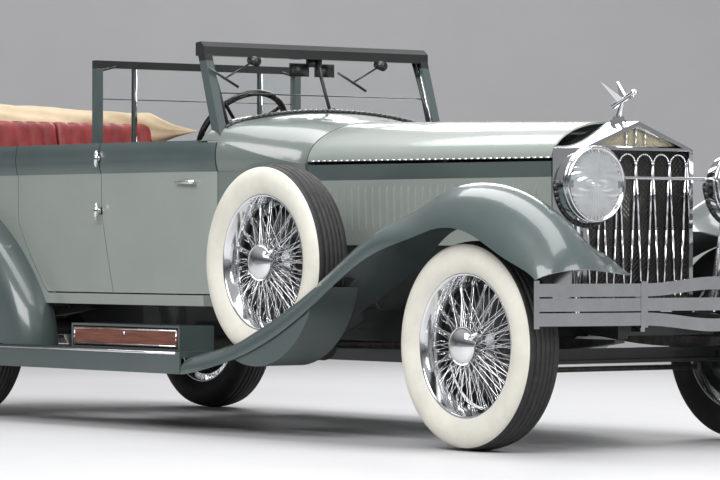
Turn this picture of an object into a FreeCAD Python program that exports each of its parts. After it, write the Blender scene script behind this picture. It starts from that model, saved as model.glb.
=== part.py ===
"""Vintage convertible with two windscreens, side-mounted spare wheels and wire wheels.

Frame: +X forward, +Y to the car's left, +Z up, millimetres. The origin is on the
ground, midway between the bumpers' outer faces.
"""
import FreeCAD, Part

import math
import os

V = FreeCAD.Vector

# ---------------------------------------------------------------- driving sizes
WHEELBASE = 3800.0
FRONT_TRACK = 1430.0
REAR_TRACK = 1420.0
HALF_LENGTH = 2740.0  # bumper face to origin
REAR_END = 2778.0
FRONT_AXLE_X = 2160.0
REAR_AXLE_X = FRONT_AXLE_X - WHEELBASE
HALF_WIDTH = 885.0  # wings and running boards

TYRE_R = 410.0
TYRE_W = 190.0
RIM_R = 286.0  # outside of the rim, where the tyre seats
RIM_W = 130.0
WHEEL_Z = TYRE_R
HUB_R = 62.0
HUB_BORE_R = 22.0
SPINDLE_R = 20.0
CAP_R = 52.0
CAP_REACH = 120.0  # hub cap's end from the wheel's centre plane
SPOKE_PAIRS = 16
SPOKE_LEAN = 14.0
SPOKE_R = 3.0
DRUM_R = 195.0
KINGPIN_Y = 610.0
STEER_ARM = 180.0
TIE_ROD_Z = 300.0
ARM_DROP = 24.0  # underside of the steering arm, above the tie rod's centre
ARM_T = 20.0
ARM_GAP = 6.0  # from the turning arm up to the beam
ARM_ROOM_R = 64.0
FORK_ROOM_R = 40.0
PIN_R = 8.0
EYE_CLEARANCE = 0.6

SPARE_X = FRONT_AXLE_X - 1270.0
SPARE_Y = 765.0
SPARE_Z = 728.0

WALL = 45.0  # doors and body sides
SEAM = 6.0  # gap round every moving panel
SHEET = 6.0  # wings, running boards and hood
SILL_Z = 535.0
DOOR_BOTTOM_Z = 585.0
BELT_Z = 1252.0
BAND_LOW_Z = 1118.0
BAND_PROUD = 14.0
FLOOR_T = 30.0

HOOD_REAR_X = 590.0
HOOD_FRONT_X = 2100.0
HOOD_SHOULDER_Z = 1150.0
HOOD_BOTTOM_Z = 800.0
SHOULDER_FALL = 6.0  # drop of the shoulder from the cowl to the radiator
FOLD_GAP = 14.0  # room for the side to fold against the top
RADIATOR_FRONT_X = 2292.0
RADIATOR_HALF_W = 292.0
RADIATOR_SHOULDER_Z = 1188.0
RADIATOR_PEAK_Z = 1297.0
RADIATOR_BOTTOM_Z = 560.0

DOOR_FRONT_X = 285.0
B_SEAM_X = -486.0
REAR_DOOR_END_X = -1165.0
HINGE_PROUD = 28.0
HINGE_R = 9.0

ARCH_R = 462.0  # rear wheel box
BOARD_TOP_Z = 345.0
BOARD_EDGE_LOW_Z = 250.0

RAIL_Y = 330.0
RAIL_TOP_Z = 530.0
RACK_BOLT_SPACING = 400.0  # holes in the last cross member, for a luggage rack
RACK_HOLE_R = 6.0


# ---------------------------------------------------------------- helpers
def box(x0, x1, y0, y1, z0, z1):
    return Part.makeBox(x1 - x0, y1 - y0, z1 - z0, V(x0, y0, z0))


def cyl(centre, axis, r, length):
    return Part.makeCylinder(r, length, V(*centre), V(*axis))


def cyl_y(x, y0, y1, z, r):
    return Part.makeCylinder(r, y1 - y0, V(x, y0, z), V(0, 1, 0))


def rod(a, b, r):
    a, b = V(*a), V(*b)
    return Part.makeCylinder(r, (b - a).Length, a, b - a)


def mirrored(shape):
    return shape.mirror(V(0, 0, 0), V(0, 1, 0))


def both(shape):
    """A right-hand piece and its mirror image as two solids."""
    return Part.makeCompound([shape, mirrored(shape)])


def fused(shapes):
    first = shapes[0]
    out = first.fuse(shapes[1:]) if len(shapes) > 1 else first
    return out.removeSplitter()


def spline(points):
    curve = Part.BSplineCurve()
    curve.interpolate([V(*p) for p in points])
    return curve.toShape()


def line(a, b):
    return Part.LineSegment(V(*a), V(*b)).toShape()


def prism_xz(points, y0, y1):
    """A polygon in the XZ plane, extruded from y0 to y1."""
    wire = Part.makePolygon([V(x, y0, z) for x, z in points + points[:1]])
    return Part.Face(wire).extrude(V(0, y1 - y0, 0))


def revolve_y(points, centre):
    """A closed (radius, y) outline turned about the Y axis through centre."""
    wire = Part.makePolygon([V(r, y, 0) for r, y in points + points[:1]])
    solid = Part.Face(wire).revolve(V(0, 0, 0), V(0, 1, 0), 360)
    solid.translate(V(*centre))
    return solid


def interpolate(table, x):
    """Straight-line reading of a table of (x, value) in falling x."""
    if x >= table[0][0]:
        return table[0][1]
    for (xa, a), (xb, b) in zip(table, table[1:]):
        if x >= xb:
            return a + (b - a) * (xa - x) / (xa - xb)
    return table[-1][1]


# ---------------------------------------------------------------- wheels
def tyre(x, y, z):
    """Balloon tyre, centred on (x, y, z)."""
    w, r0, r1 = TYRE_W / 2, RIM_R - 14, TYRE_R
    outline = [
        (r0, -RIM_W / 2 + 12), (r0 + 16, -RIM_W / 2 - 4), (r0 + 45, -w + 6), (r0 + 72, -w),
        (r1 - 42, -w + 4), (r1 - 20, -w + 16), (r1 - 6, -w + 36), (r1, -w + 62),
        (r1, w - 62), (r1 - 6, w - 36), (r1 - 20, w - 16), (r1 - 42, w - 4),
        (r0 + 72, w), (r0 + 45, w - 6), (r0 + 16, RIM_W / 2 + 4), (r0, RIM_W / 2 - 12),
    ]
    return revolve_y(outline, (x, y, z))


def wire_wheel(x, y, z, side, bore=True):
    """Rim, hub, drum and spokes as one solid. The drum is on the inner side."""
    well = RIM_R - 15
    rim = revolve_y(
        [(well - 22, -RIM_W / 2 + 14), (well, -RIM_W / 2 + 14), (well, RIM_W / 2 - 14),
         (well - 22, RIM_W / 2 - 14)], (x, y, z))
    inner, outer = 55.0, 80.0
    hub = cyl_y(x, *sorted((y + side * outer, y - side * inner)), z, HUB_R)
    spokes = []
    for k in range(SPOKE_PAIRS):
        a = 2 * math.pi * k / SPOKE_PAIRS
        lean = math.radians(SPOKE_LEAN if k % 2 else -SPOKE_LEAN)
        for y_hub, y_rim in ((side * 70, side * 18), (-side * 45, -side * 18)):
            start = (x + 50 * math.cos(a), y + y_hub, z + 50 * math.sin(a))
            end = (x + (well - 12) * math.cos(a + lean), y + y_rim, z + (well - 12) * math.sin(a + lean))
            spokes.append(rod(start, end, SPOKE_R))
    cap = cyl_y(x, *sorted((y + side * outer, y + side * CAP_REACH)), z, CAP_R)
    pieces = [rim, hub, cap] + spokes
    wheel = fused(pieces)
    if bore:
        drum_y = y - side * 40
        drum = cyl_y(x, min(drum_y, drum_y - side * 22), max(drum_y, drum_y - side * 22), z, DRUM_R)
        wheel = fused([wheel, drum])
        reach = 60.0
        lo, hi = sorted((y - side * 90, y + side * reach))
        wheel = wheel.cut(cyl_y(x, lo, hi, z, HUB_BORE_R))
    return wheel


# ---------------------------------------------------------------- front axle
def front_axle():
    beam = box(FRONT_AXLE_X - 28, FRONT_AXLE_X + 28, -KINGPIN_Y + 22, KINGPIN_Y - 22, 330, 390)
    lighten = box(FRONT_AXLE_X + 12, FRONT_AXLE_X + 40, -KINGPIN_Y + 80, KINGPIN_Y - 80, 344, 376)
    back = box(FRONT_AXLE_X - 40, FRONT_AXLE_X - 12, -KINGPIN_Y + 80, KINGPIN_Y - 80, 344, 376)
    eyes = [cyl((FRONT_AXLE_X, s * KINGPIN_Y, 370), (0, 0, 1), 24, 80) for s in (-1, 1)]
    ends = [box(FRONT_AXLE_X - 24, FRONT_AXLE_X + 24, min(s * (KINGPIN_Y - 60), s * KINGPIN_Y),
                max(s * (KINGPIN_Y - 60), s * KINGPIN_Y), 372, 448) for s in (-1, 1)]
    pins = [cyl((FRONT_AXLE_X, s * KINGPIN_Y, 340), (0, 0, 1), 12, 140) for s in (-1, 1)]
    shape = fused([beam.cut(lighten).cut(back)] + eyes + ends)
    # the fork of each knuckle turns round the eye, so the beam stops short of it
    for s in (-1, 1):
        for r, top in ((FORK_ROOM_R, 367), (ARM_ROOM_R, TIE_ROD_Z + ARM_DROP + ARM_T + ARM_GAP)):
            shape = shape.cut(cyl((FRONT_AXLE_X, s * KINGPIN_Y, 325), (0, 0, 1), r, top - 325))
    return fused([shape] + pins)


def knuckle(side):
    """Fork on the kingpin, spindle for the wheel and steering arm. side is -1 on the right."""
    x, y = FRONT_AXLE_X, side * KINGPIN_Y
    low = cyl((x, y, 342), (0, 0, 1), 26, 20)
    high = cyl((x, y, 456), (0, 0, 1), 26, 20)
    y_plate = y + side * 26
    web = box(x - 24, x + 24, min(y_plate, y_plate + side * 10), max(y_plate, y_plate + side * 10), 342, 476)
    links = []
    for z0 in (342, 456):
        links.append(box(x - 22, x + 22, min(y, y_plate), max(y, y_plate), z0, z0 + 20))
    links[0] = links[0].common(box(x - 30, x + 30, -2000, 2000, 342, 362))
    tip = side * (FRONT_TRACK / 2 + 48)
    spindle = cyl_y(x, min(y_plate, tip), max(y_plate, tip), WHEEL_Z, SPINDLE_R)
    arm_z = TIE_ROD_Z + ARM_DROP
    arm = box(x - STEER_ARM, x, y - 16, y + 16, arm_z, arm_z + ARM_T)
    pad = cyl((x - STEER_ARM, y, arm_z), (0, 0, 1), 20, ARM_T)
    drop = cyl((x, y, arm_z), (0, 0, 1), 26, 362 - arm_z)
    pin = cyl((x - STEER_ARM, y, TIE_ROD_Z - 16), (0, 0, 1), PIN_R, 44)
    body = fused([low, high, web, spindle, arm, pad, drop, pin] + links)
    return body.cut(cyl((x, y, 336), (0, 0, 1), 12.5, 150))


def tie_rod():
    x, z = FRONT_AXLE_X - STEER_ARM, TIE_ROD_Z
    bar = cyl_y(x, -KINGPIN_Y, KINGPIN_Y, z, 11)
    eyes = [cyl((x, s * KINGPIN_Y, z - 14), (0, 0, 1), 19, 30) for s in (-1, 1)]
    shape = fused([bar] + eyes)
    for s in (-1, 1):
        shape = shape.cut(cyl((x, s * KINGPIN_Y, z - 20), (0, 0, 1), PIN_R + EYE_CLEARANCE, 50))
    return shape


# ---------------------------------------------------------------- rear axle, springs, frame
def rear_axle():
    x, reach = REAR_AXLE_X, REAR_TRACK / 2
    tube = cyl_y(x, -reach + 80, reach - 80, WHEEL_Z, 42)
    stubs = cyl_y(x, -reach - 48, reach + 48, WHEEL_Z, SPINDLE_R)
    diff = Part.makeSphere(150, V(x, 0, WHEEL_Z))
    nose = Part.makeCone(60, 95, 260, V(x + 340, 0, WHEEL_Z + 8), V(-1, 0, 0))
    shaft = rod((x + 330, 0, WHEEL_Z + 8), (540, 0, 440), 34)
    return fused([tube, stubs, diff, nose, shaft])


def leaf_spring(x0, x1, x_mid, y, z_end, z_mid):
    """A pack of leaves, curved down to the axle in the middle."""
    t, half = 44.0, 26.0
    top = spline([(x0, y - half, z_end), (x_mid, y - half, z_mid + t), (x1, y - half, z_end)])
    low = spline([(x1, y - half, z_end - 12), (x_mid, y - half, z_mid), (x0, y - half, z_end - 12)])
    a = line((x1, y - half, z_end), (x1, y - half, z_end - 12))
    b = line((x0, y - half, z_end - 12), (x0, y - half, z_end))
    return Part.Face(Part.Wire([top, a, low, b])).extrude(V(0, 2 * half, 0))


def leaf_springs():
    springs = []
    for s in (-1, 1):
        x, y = FRONT_AXLE_X, s * (RAIL_Y + 25)
        springs.append(leaf_spring(x - 480, x + 420, x, y, 436, 391))
        x, y = REAR_AXLE_X, s * (RAIL_Y + 85)
        springs.append(leaf_spring(x - 650, x + 650, x, y, 520, 453))
    return Part.makeCompound(springs)


def chassis_frame():
    rails = []
    for s in (-1, 1):
        lo, hi = sorted((s * RAIL_Y, s * (RAIL_Y + 50)))
        outline = [(2600, 440), (2600, 490), (2350, RAIL_TOP_Z), (-1050, RAIL_TOP_Z), (-1350, 640),
                   (-1950, 640), (-2200, RAIL_TOP_Z), (-2600, RAIL_TOP_Z), (-2600, 480), (-2200, 440),
                   (-1950, 560), (-1350, 560), (-1050, 400), (1500, 400), (1640, 472), (2200, 472)]
        rails.append(prism_xz(outline, lo, hi))
    reach = RAIL_Y + 5
    members = [box(x0, x0 + length, -reach, reach, z0, z1)
               for x0, length, z0, z1 in ((2290, 80, 445, 500), (1260, 80, 430, 500), (260, 80, 490, 528),
                                          (-940, 80, 490, 528), (-1990, 80, 575, 625), (-2600, 60, 480, 528))]
    frame = fused(rails + members)
    for y in (-RACK_BOLT_SPACING / 2, RACK_BOLT_SPACING / 2):
        frame = frame.cut(cyl((-2570, y, 470), (0, 0, 1), RACK_HOLE_R, 70))
    return frame


def engine():
    """Engine and gearbox as one plain block."""
    block = box(900, 2050, -170, 170, 505, 1120)
    gearbox = box(560, 901, -130, 130, 400, 760)
    return fused([block, gearbox])


def exhaust():
    y = 230.0
    pipe = rod((1700, y, 380), (-2600, y, 330), 26)
    muffler = rod((-100, y, 358), (-900, y, 350), 80)
    return fused([pipe, muffler])


def fuel_tank():
    tank = box(-2520, -2110, -300, 300, 372, 530)
    return tank.makeFillet(60, [e for e in tank.Edges if abs(e.tangentAt(e.FirstParameter).y) > 0.9])


# ---------------------------------------------------------------- body shape
PLAN = [
    (590, 385), (500, 440), (400, 545), (330, 605), (260, 645), (100, 680), (-140, 703),
    (-486, 722), (-950, 730), (-1340, 725), (-1640, 710), (-2040, 650), (-2300, 555), (-2460, 420),
    (-2545, 240),
]
TAIL_X = -2570.0


def half_width(x):
    return interpolate(PLAN, x)


def plan_wire(z, inset, tail_shift):
    """Closed outline of the body at height z. inset shrinks it all round."""
    side = []
    for x, w in PLAN:
        toward_tail = max(0.0, min(1.0, (-1600 - x) / 800.0))
        shift = tail_shift + (inset if x < -2000 else 0)
        side.append((x + shift * toward_tail, -(w - inset), z))
    other = [(x, -y, z) for x, y, z in reversed(side)]
    tail = [(TAIL_X + tail_shift + inset, 0, z)]
    return Part.Wire([spline(side + tail + other), line(other[-1], side[0])])


def body_plan(inset=0.0, z0=SILL_Z, z1=1420.0):
    """The body's sides as one tall solid, tucked under towards the sill."""
    levels = [(z0, inset + 18, 90), (760.0, inset + 6, 30), (BAND_LOW_Z, inset, 0), (z1, inset + 4, 0)]
    return Part.makeLoft([plan_wire(z, i, t) for z, i, t in levels], True, False)


def band_ring():
    """The convex moulding round the body, under the belt line."""
    levels = [(BAND_LOW_Z, -2), (1150.0, -BAND_PROUD + 3), (1185.0, -BAND_PROUD),
              (1220.0, -BAND_PROUD + 3), (BELT_Z + 8, 0)]
    return Part.makeLoft([plan_wire(z, i, 0) for z, i in levels], True, False)


ARCHES = [(590, 385, HOOD_SHOULDER_Z, 1336), (480, 460, 1172, 1352), (380, 560, 1212, 1368),
          (300, 622, 1243, 1380), (200, 660, BELT_Z, 1390)]


def arch_wire(x, w, z_side, z_top, drop=0.0):
    """An upright section under the cowl's arched top, closed down at the sill."""
    pts = []
    for k in range(9):
        a = math.pi * k / 8
        pts.append((x, -w * math.cos(a), z_side - drop + (z_top - z_side) * math.sin(a)))
    pts[0] = (x, -900, pts[0][2])
    pts[-1] = (x, 900, pts[-1][2])
    low = SILL_Z - 50
    top = [line(pts[0], (x, -w, z_side - drop)), None, line((x, w, z_side - drop), pts[-1])]
    arc = spline([(x, -w, z_side - drop)] + pts[1:-1] + [(x, w, z_side - drop)])
    return Part.Wire([top[0], arc, top[2], line(pts[-1], (x, 900, low)), line((x, 900, low), (x, -900, low)),
                      line((x, -900, low), pts[0])])


def arch_solid(drop=0.0, x_pad=0.0):
    rows = list(ARCHES)
    if x_pad:
        x, w, a, b = rows[0]
        rows[0] = (x + x_pad, w, a, b)
        x, w, a, b = rows[-1]
        rows[-1] = (x - x_pad, w, a, b)
    return Part.makeLoft([arch_wire(x, w, a, b, drop) for x, w, a, b in rows], True, False)


COWL_REAR_X = 200.0


FRONT_DOOR = [(DOOR_FRONT_X, DOOR_BOTTOM_Z), (DOOR_FRONT_X, BELT_Z - 6), (COWL_REAR_X - 6, BELT_Z - 6),
              (COWL_REAR_X - 6, 1300), (B_SEAM_X, 1300), (B_SEAM_X, 950), (B_SEAM_X + 72, DOOR_BOTTOM_Z)]
REAR_DOOR = [(B_SEAM_X + 72, DOOR_BOTTOM_Z), (B_SEAM_X, 950), (B_SEAM_X, 1300), (REAR_DOOR_END_X, 1300),
             (REAR_DOOR_END_X, 905), (-1085, 770), (-950, 600), (-935, DOOR_BOTTOM_Z)]


def grown(points, by):
    """A polygon offset outwards by a distance, in the XZ plane."""
    wire = Part.makePolygon([V(x, 0, z) for x, z in points + points[:1]])
    face = Part.Face(wire).makeOffset2D(by, 2)
    return face


def outline_solid(points, by, y0, y1):
    face = grown(points, by).copy()
    face.translate(V(0, y0, 0))
    return face.extrude(V(0, y1 - y0, 0))


def body_shell():
    """Cowl, sides and tail with the cabin hollowed out, before the doors are cut."""
    outer = fused([body_plan(), band_ring()])
    arch = arch_solid()
    cowl = outer.common(arch)
    inner = body_plan(inset=WALL, z0=SILL_Z - 20, z1=1500).common(arch_solid(drop=WALL, x_pad=40))
    cowl = cowl.cut(inner)
    cowl = cowl.cut(box(190, COWL_REAR_X, -1000, 1000, 400, 1500))
    top = box(-3000, COWL_REAR_X, -1000, 1000, BELT_Z, 1600)
    tub = outer.cut(top).cut(box(COWL_REAR_X, 700, -1000, 1000, 400, 1600))
    tub = tub.cut(body_plan(inset=WALL, z0=SILL_Z - 20, z1=1500))
    return cowl, tub


# ---------------------------------------------------------------- hood
def hood_section(x, w_low, w, z_side, z_top, t, side):
    """One half of the hood: hinge line, arched top, shoulder and side. Closed thick section."""
    gap = 3.0
    outer, inner = [], []
    for k in range(6):
        a = math.radians(88 - 88 * k / 5.0)
        outer.append((x, side * max(gap, w * math.cos(a)), z_side + (z_top - z_side) * math.sin(a)))
        inner.append((x, side * max(gap, (w - t) * math.cos(a)), z_side + (z_top - t - z_side) * math.sin(a)))
    outer[0] = (x, side * gap, z_top)
    inner[0] = (x, side * gap, z_top - t)
    o_low, i_low = (x, side * w_low, HOOD_BOTTOM_Z), (x, side * (w_low - t), HOOD_BOTTOM_Z)
    edges = [spline(outer), line(outer[-1], o_low), line(o_low, i_low), line(i_low, inner[-1]),
             spline(inner[::-1]), line(inner[0], outer[0])]
    return Part.Wire(edges)


def hood_half(side):
    t = 8.0
    front = hood_section(HOOD_FRONT_X - 9, 284, 287, HOOD_SHOULDER_Z - 6, 1300, t, side)
    rear = hood_section(HOOD_REAR_X + SEAM, 376, 384, HOOD_SHOULDER_Z, 1335, t, side)
    return Part.makeLoft([rear, front], True, True)


def hood_panels(side):
    """The arched top and the upright side of one half, split at the shoulder hinge."""
    half = hood_half(side)
    y0, y1 = sorted((side * 1.0, side * 600.0))
    rear, front = HOOD_SHOULDER_Z, HOOD_SHOULDER_Z - SHOULDER_FALL
    up, low = FOLD_GAP / 2, -FOLD_GAP / 2
    upper = prism_xz([(400, rear + up), (2300, front + up), (2300, 1500), (400, 1500)], y0, y1)
    lower = prism_xz([(400, rear + low), (2300, front + low), (2300, 500), (400, 500)], y0, y1)
    return half.common(upper), half.common(lower)


def hood_ledge(side):
    """Fixed strip between the frame and the bottom of the hood's side."""
    rear, front = HOOD_REAR_X + 1, HOOD_FRONT_X + SEAM - 1
    wires = []
    for x, y in ((rear, 378), (front, 286)):
        low, high = RAIL_TOP_Z + 1, HOOD_BOTTOM_Z - SEAM
        outer, inner = side * y, side * (y - SHEET)
        pts = [V(x, outer, low), V(x, outer, high), V(x, inner, high), V(x, inner, low)]
        wires.append(Part.makePolygon(pts + pts[:1]))
    return Part.makeLoft(wires, True, True)


# ---------------------------------------------------------------- radiator
def radiator_outline(inset, x, z_low):
    w, zs, zp = RADIATOR_HALF_W - inset, RADIATOR_SHOULDER_Z - inset * 0.4, RADIATOR_PEAK_Z - inset
    pts = [(x, -w, z_low), (x, -w, zs), (x, 0, zp), (x, w, zs), (x, w, z_low)]
    return Part.Face(Part.makePolygon([V(*p) for p in pts + pts[:1]]))


def radiator_shell():
    x0 = HOOD_FRONT_X + SEAM
    outer = radiator_outline(0, x0, RADIATOR_BOTTOM_Z).extrude(V(RADIATOR_FRONT_X - x0, 0, 0))
    hole = radiator_outline(20, x0 - 5, RADIATOR_BOTTOM_Z + 20).extrude(V(RADIATOR_FRONT_X - x0 + 10, 0, 0))
    bar = box(RADIATOR_FRONT_X - 20, RADIATOR_FRONT_X, -RADIATOR_HALF_W + 10, RADIATOR_HALF_W - 10,
              RADIATOR_SHOULDER_Z - 8, RADIATOR_SHOULDER_Z + 4)
    return fused([outer.cut(hole), bar])


def radiator_core():
    x1 = RADIATOR_FRONT_X - 30
    return radiator_outline(19, x1 - 90, RADIATOR_BOTTOM_Z + 19).extrude(V(90, 0, 0))


def mascot():
    """Filler cap with a plain bird, wings raised, leaning forward."""
    x, z = FRONT_AXLE_X + 10, RADIATOR_PEAK_Z - 4
    base = cyl((x, 0, z - 8), (0, 0, 1), 34, 20)
    cap = cyl((x, 0, z + 10), (0, 0, 1), 24, 16)
    stem = Part.makeCone(14, 8, 62, V(x, 0, z + 22), V(0.35, 0, 0.94))
    body = rod((x - 30, 0, z + 66), (x + 88, 0, z + 116), 13)
    head = Part.makeSphere(15, V(x + 92, 0, z + 118))
    wings = []
    for s in (-1, 1):
        pts = [V(x + 40, s * 6, z + 94), V(x + 4, s * 6, z + 80), V(x - 62, s * 44, z + 168)]
        wings.append(Part.Face(Part.makePolygon(pts + pts[:1])).extrude(V(3, s * 7, 3)))
    return fused([base, cap, stem, body, head] + wings)


# ---------------------------------------------------------------- wings (fenders)
def wing_section(base, n, points, t=SHEET):
    """A thick open section. points are (y, height) from the inner edge to the outer edge."""
    bx, bz = base
    nx, nz = n
    outer = [(bx + nx * h, y, bz + nz * h) for y, h in points]
    last = len(points) - 1
    inner = []
    for k, (y, h) in enumerate(points):
        share = k / last
        hh = h - t * (1.0 if k < last else 0.0)
        yy = y - t * (0.0 if share < 0.5 else (share - 0.5) * 2) * (-1)
        inner.append((bx + nx * hh, yy, bz + nz * hh))
    edges = [spline(outer), line(outer[-1], inner[-1]), spline(inner[::-1]), line(inner[0], outer[0])]
    return Part.Wire(edges)


def radial(centre, degrees, r):
    a = math.radians(degrees)
    return (centre[0] + r * math.cos(a), centre[1] + r * math.sin(a)), (math.cos(a), math.sin(a))


def front_wing():
    w = (FRONT_AXLE_X, WHEEL_Z)
    y_out = -HALF_WIDTH
    sections = []
    for deg, r_out, r_crown, r_in, y_in in ((26, 600, 688, 640, -430), (38, 522, 682, 560, -425),
                                            (52, 472, 664, 500, -420), (68, 460, 647, 460, -415),
                                            (84, 460, 638, 450, -415), (100, 460, 632, 450, -415),
                                            (116, 470, 622, 480, -420)):
        base, n = radial(w, deg, r_out)
        hc, hi = r_crown - r_out, r_in - r_out
        pts = [(y_in, hi), (y_in - 110, hi + (hc - hi) * 0.40), (-700, hc), (-810, hc * 0.80),
               (-862, hc * 0.42), (y_out, 0)]
        sections.append(wing_section(base, n, pts))
    for base, n, hc in (((1760, 785), (-0.35, 0.937), 104), ((1560, 705), (-0.46, 0.888), 96),
                        ((1217, 510), (-0.42, 0.907), 94), ((798, 337), (-0.30, 0.954), 88),
                        ((520, 272), (-0.12, 0.993), 80),
                        ((367, BOARD_EDGE_LOW_Z), (0, 1), BOARD_TOP_Z - BOARD_EDGE_LOW_Z - 20)):
        pts = [(-430, hc * 0.96), (-520, hc * 0.99), (-700, hc), (-830, hc * 0.97), (-872, hc * 0.62), (y_out, 0)]
        sections.append(wing_section(base, n, pts))
    sheet = Part.makeLoft(sections, True, False)
    return sheet


def spare_well(wing):
    """Cuts the wing for the spare tyre and adds the pan that it sits in."""
    gap = 14.0
    lo, hi = -SPARE_Y - TYRE_W / 2 - 9, -SPARE_Y + TYRE_W / 2 + 9
    hole = cyl_y(SPARE_X, lo, hi, SPARE_Z, TYRE_R + gap)
    pan = cyl_y(SPARE_X, lo - 6, hi + 6, SPARE_Z, TYRE_R + gap + 6).cut(hole)
    top = [(300, 305), (530, 320), (790, 398), (1000, 482), (1200, 575), (1400, 676), (1400, 150), (300, 150)]
    pan = pan.common(prism_xz(top, -900, -600))
    return fused([wing.cut(hole), pan])


def rear_wing():
    w = (REAR_AXLE_X, WHEEL_Z)
    sections = []
    for deg, r_out, r_crown in ((-6, 490, 745), (10, 478, 701), (26, 464, 645), (44, 462, 606),
                                (66, 462, 590), (90, 462, 588), (114, 462, 590), (138, 466, 606),
                                (158, 482, 645), (176, 520, 700)):
        base, n = radial(w, deg, r_out)
        hc = r_crown - r_out
        y_in = -(half_width(w[0] + r_crown * n[0]) - 60)
        mid = (y_in - HALF_WIDTH) / 2
        pts = [(y_in, hc * 0.94), (mid * 0.55 + y_in * 0.45, hc), (mid * 0.9 - HALF_WIDTH * 0.1, hc * 0.95),
               (-HALF_WIDTH + 38, hc * 0.78), (-HALF_WIDTH + 12, hc * 0.42), (-HALF_WIDTH, 0)]
        sections.append(wing_section(base, n, pts))
    return Part.makeLoft(sections, True, False)


def running_board():
    """Board with its outer apron, from the front wing to the rear wheel."""
    x0, x1 = -1140.0, 360.0
    board = box(x0, x1, -HALF_WIDTH, -600, BOARD_TOP_Z - 26, BOARD_TOP_Z)
    apron = box(x0, x1, -HALF_WIDTH, -HALF_WIDTH + 8, BOARD_EDGE_LOW_Z, BOARD_TOP_Z - 20)
    return fused([board, apron])


# ---------------------------------------------------------------- toolbox
BOX_X0, BOX_X1 = -597.0, 247.0
BOX_Y0, BOX_Y1 = -806.0, -625.0
BOX_TOP_Z = 452.0


def toolbox():
    """Box on the running board, open at the front where its flap closes it."""
    outer = box(BOX_X0, BOX_X1, BOX_Y0, BOX_Y1, BOARD_TOP_Z, BOX_TOP_Z)
    inside = box(BOX_X0 + 12, BOX_X1 - 12, BOX_Y0 - 10, BOX_Y1 - 12, BOARD_TOP_Z + 8, BOX_TOP_Z - 10)
    return outer.cut(inside)


FLAP_T = 12.0
FLAP_GAP = 6.0


def toolbox_flap():
    return box(BOX_X0 + 12 + FLAP_GAP, BOX_X1 - 12 - FLAP_GAP, BOX_Y0, BOX_Y0 + FLAP_T,
               BOARD_TOP_Z + 8 + FLAP_GAP, BOX_TOP_Z - 10 - FLAP_GAP)


# ---------------------------------------------------------------- lamps and bumpers
LAMP_X, LAMP_Y, LAMP_Z, LAMP_R = 2490.0, 394.0, 1040.0, 147.0


def headlamp_bucket():
    x = LAMP_X
    outer = [(x, 0), (x, LAMP_R), (x - 32, LAMP_R), (x - 90, LAMP_R - 16), (x - 150, LAMP_R - 52),
             (x - 190, LAMP_R - 100), (x - 200, 0)]
    inner = [(x + 1, 0), (x + 1, LAMP_R - 9), (x - 32, LAMP_R - 9), (x - 88, LAMP_R - 25),
             (x - 144, LAMP_R - 60), (x - 176, LAMP_R - 104), (x - 184, 0)]

    def turn(points):
        face = Part.Face(Part.makePolygon([V(a, 0, b) for a, b in points + points[:1]]))
        return face.revolve(V(0, 0, 0), V(1, 0, 0), 360)

    bucket = fused([turn(outer).cut(turn(inner)), cyl((x - 14, 0, 0), (1, 0, 0), LAMP_R - 5, 8)])
    bucket.translate(V(0, -LAMP_Y, LAMP_Z))
    return bucket


def headlamps():
    """Both buckets, their stalks to the frame and the bar between them."""
    pieces = []
    for s in (-1, 1):
        bucket = headlamp_bucket() if s < 0 else mirrored(headlamp_bucket())
        foot = (2330, s * 362, 536)
        stalk = rod(foot, (2370, s * LAMP_Y, LAMP_Z - LAMP_R + 18), 17)
        pieces += [bucket, stalk]
    bar = cyl_y(LAMP_X - 45, -LAMP_Y + LAMP_R - 6, LAMP_Y - LAMP_R + 6, LAMP_Z + 27, 6)
    return fused(pieces + [bar])


BLADE_STEPS = 24


def bumper_path(z_end, spread, x_end, x_clamp, x_mid, y_end, y_clamp, sign):
    """Points along a blade: level outside the clamps, spreading to the middle inside them."""
    pts = []
    for k in range(-BLADE_STEPS, BLADE_STEPS + 1):
        y = y_end * k / BLADE_STEPS
        a = abs(y)
        if a > y_clamp:
            share = (a - y_clamp) / (y_end - y_clamp)
            x = x_clamp + (x_end - x_clamp) * share ** 2
            z = z_end
        else:
            share = 1 - a / y_clamp
            x = x_clamp + (x_mid - x_clamp) * math.sin(share * math.pi / 2)
            z = z_end + spread * math.sin(share * math.pi / 2) ** 2
        pts.append((sign * x, y, z))
    return pts


def blade(points, height, thick, sign):
    """A flat blade that follows points, as a loft of upright rectangles."""
    sections = []
    for x, y, z in points:
        a, b = x, x - sign * thick
        lo, hi = z - height / 2, z + height / 2
        sections.append(Part.makePolygon([V(a, y, lo), V(a, y, hi), V(b, y, hi), V(b, y, lo), V(a, y, lo)]))
    return Part.makeLoft(sections, True, True)


def bumper(sign, x_end, x_clamp, x_mid, irons_x):
    pieces = []
    for z, spread in ((575, 0), (631, 26), (519, -26)):
        path = bumper_path(z, spread, x_end, x_clamp, x_mid, 800.0, 335.0, sign)
        pieces.append(blade(path, 50, 9, sign))
    for s in (-1, 1):
        y0, y1 = sorted((s * 318, s * 352))
        xa, xb = sorted((sign * (x_clamp - 30), sign * (x_clamp + 3)))
        pieces.append(box(xa, xb, y0, y1, 486, 664))
        xa, xb = sorted((sign * irons_x, sign * (x_clamp - 8)))
        pieces.append(box(xa, xb, y0 + 6, y1 - 6, 470, 520))
        xe = sorted((sign * (x_end - 4), sign * (x_end + 12)))
        ye = sorted((s * 792, s * 806))
        pieces.append(box(xe[0], xe[1], ye[0], ye[1], 484, 668))
    return fused(pieces)


# ---------------------------------------------------------------- screens
SCREEN_BASE = (258.0, 1252.0)
SCREEN_TOP = (128.0, 1650.0)
SCREEN_HALF_W = 600.0
DIVIDER_X = -770.0


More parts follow.
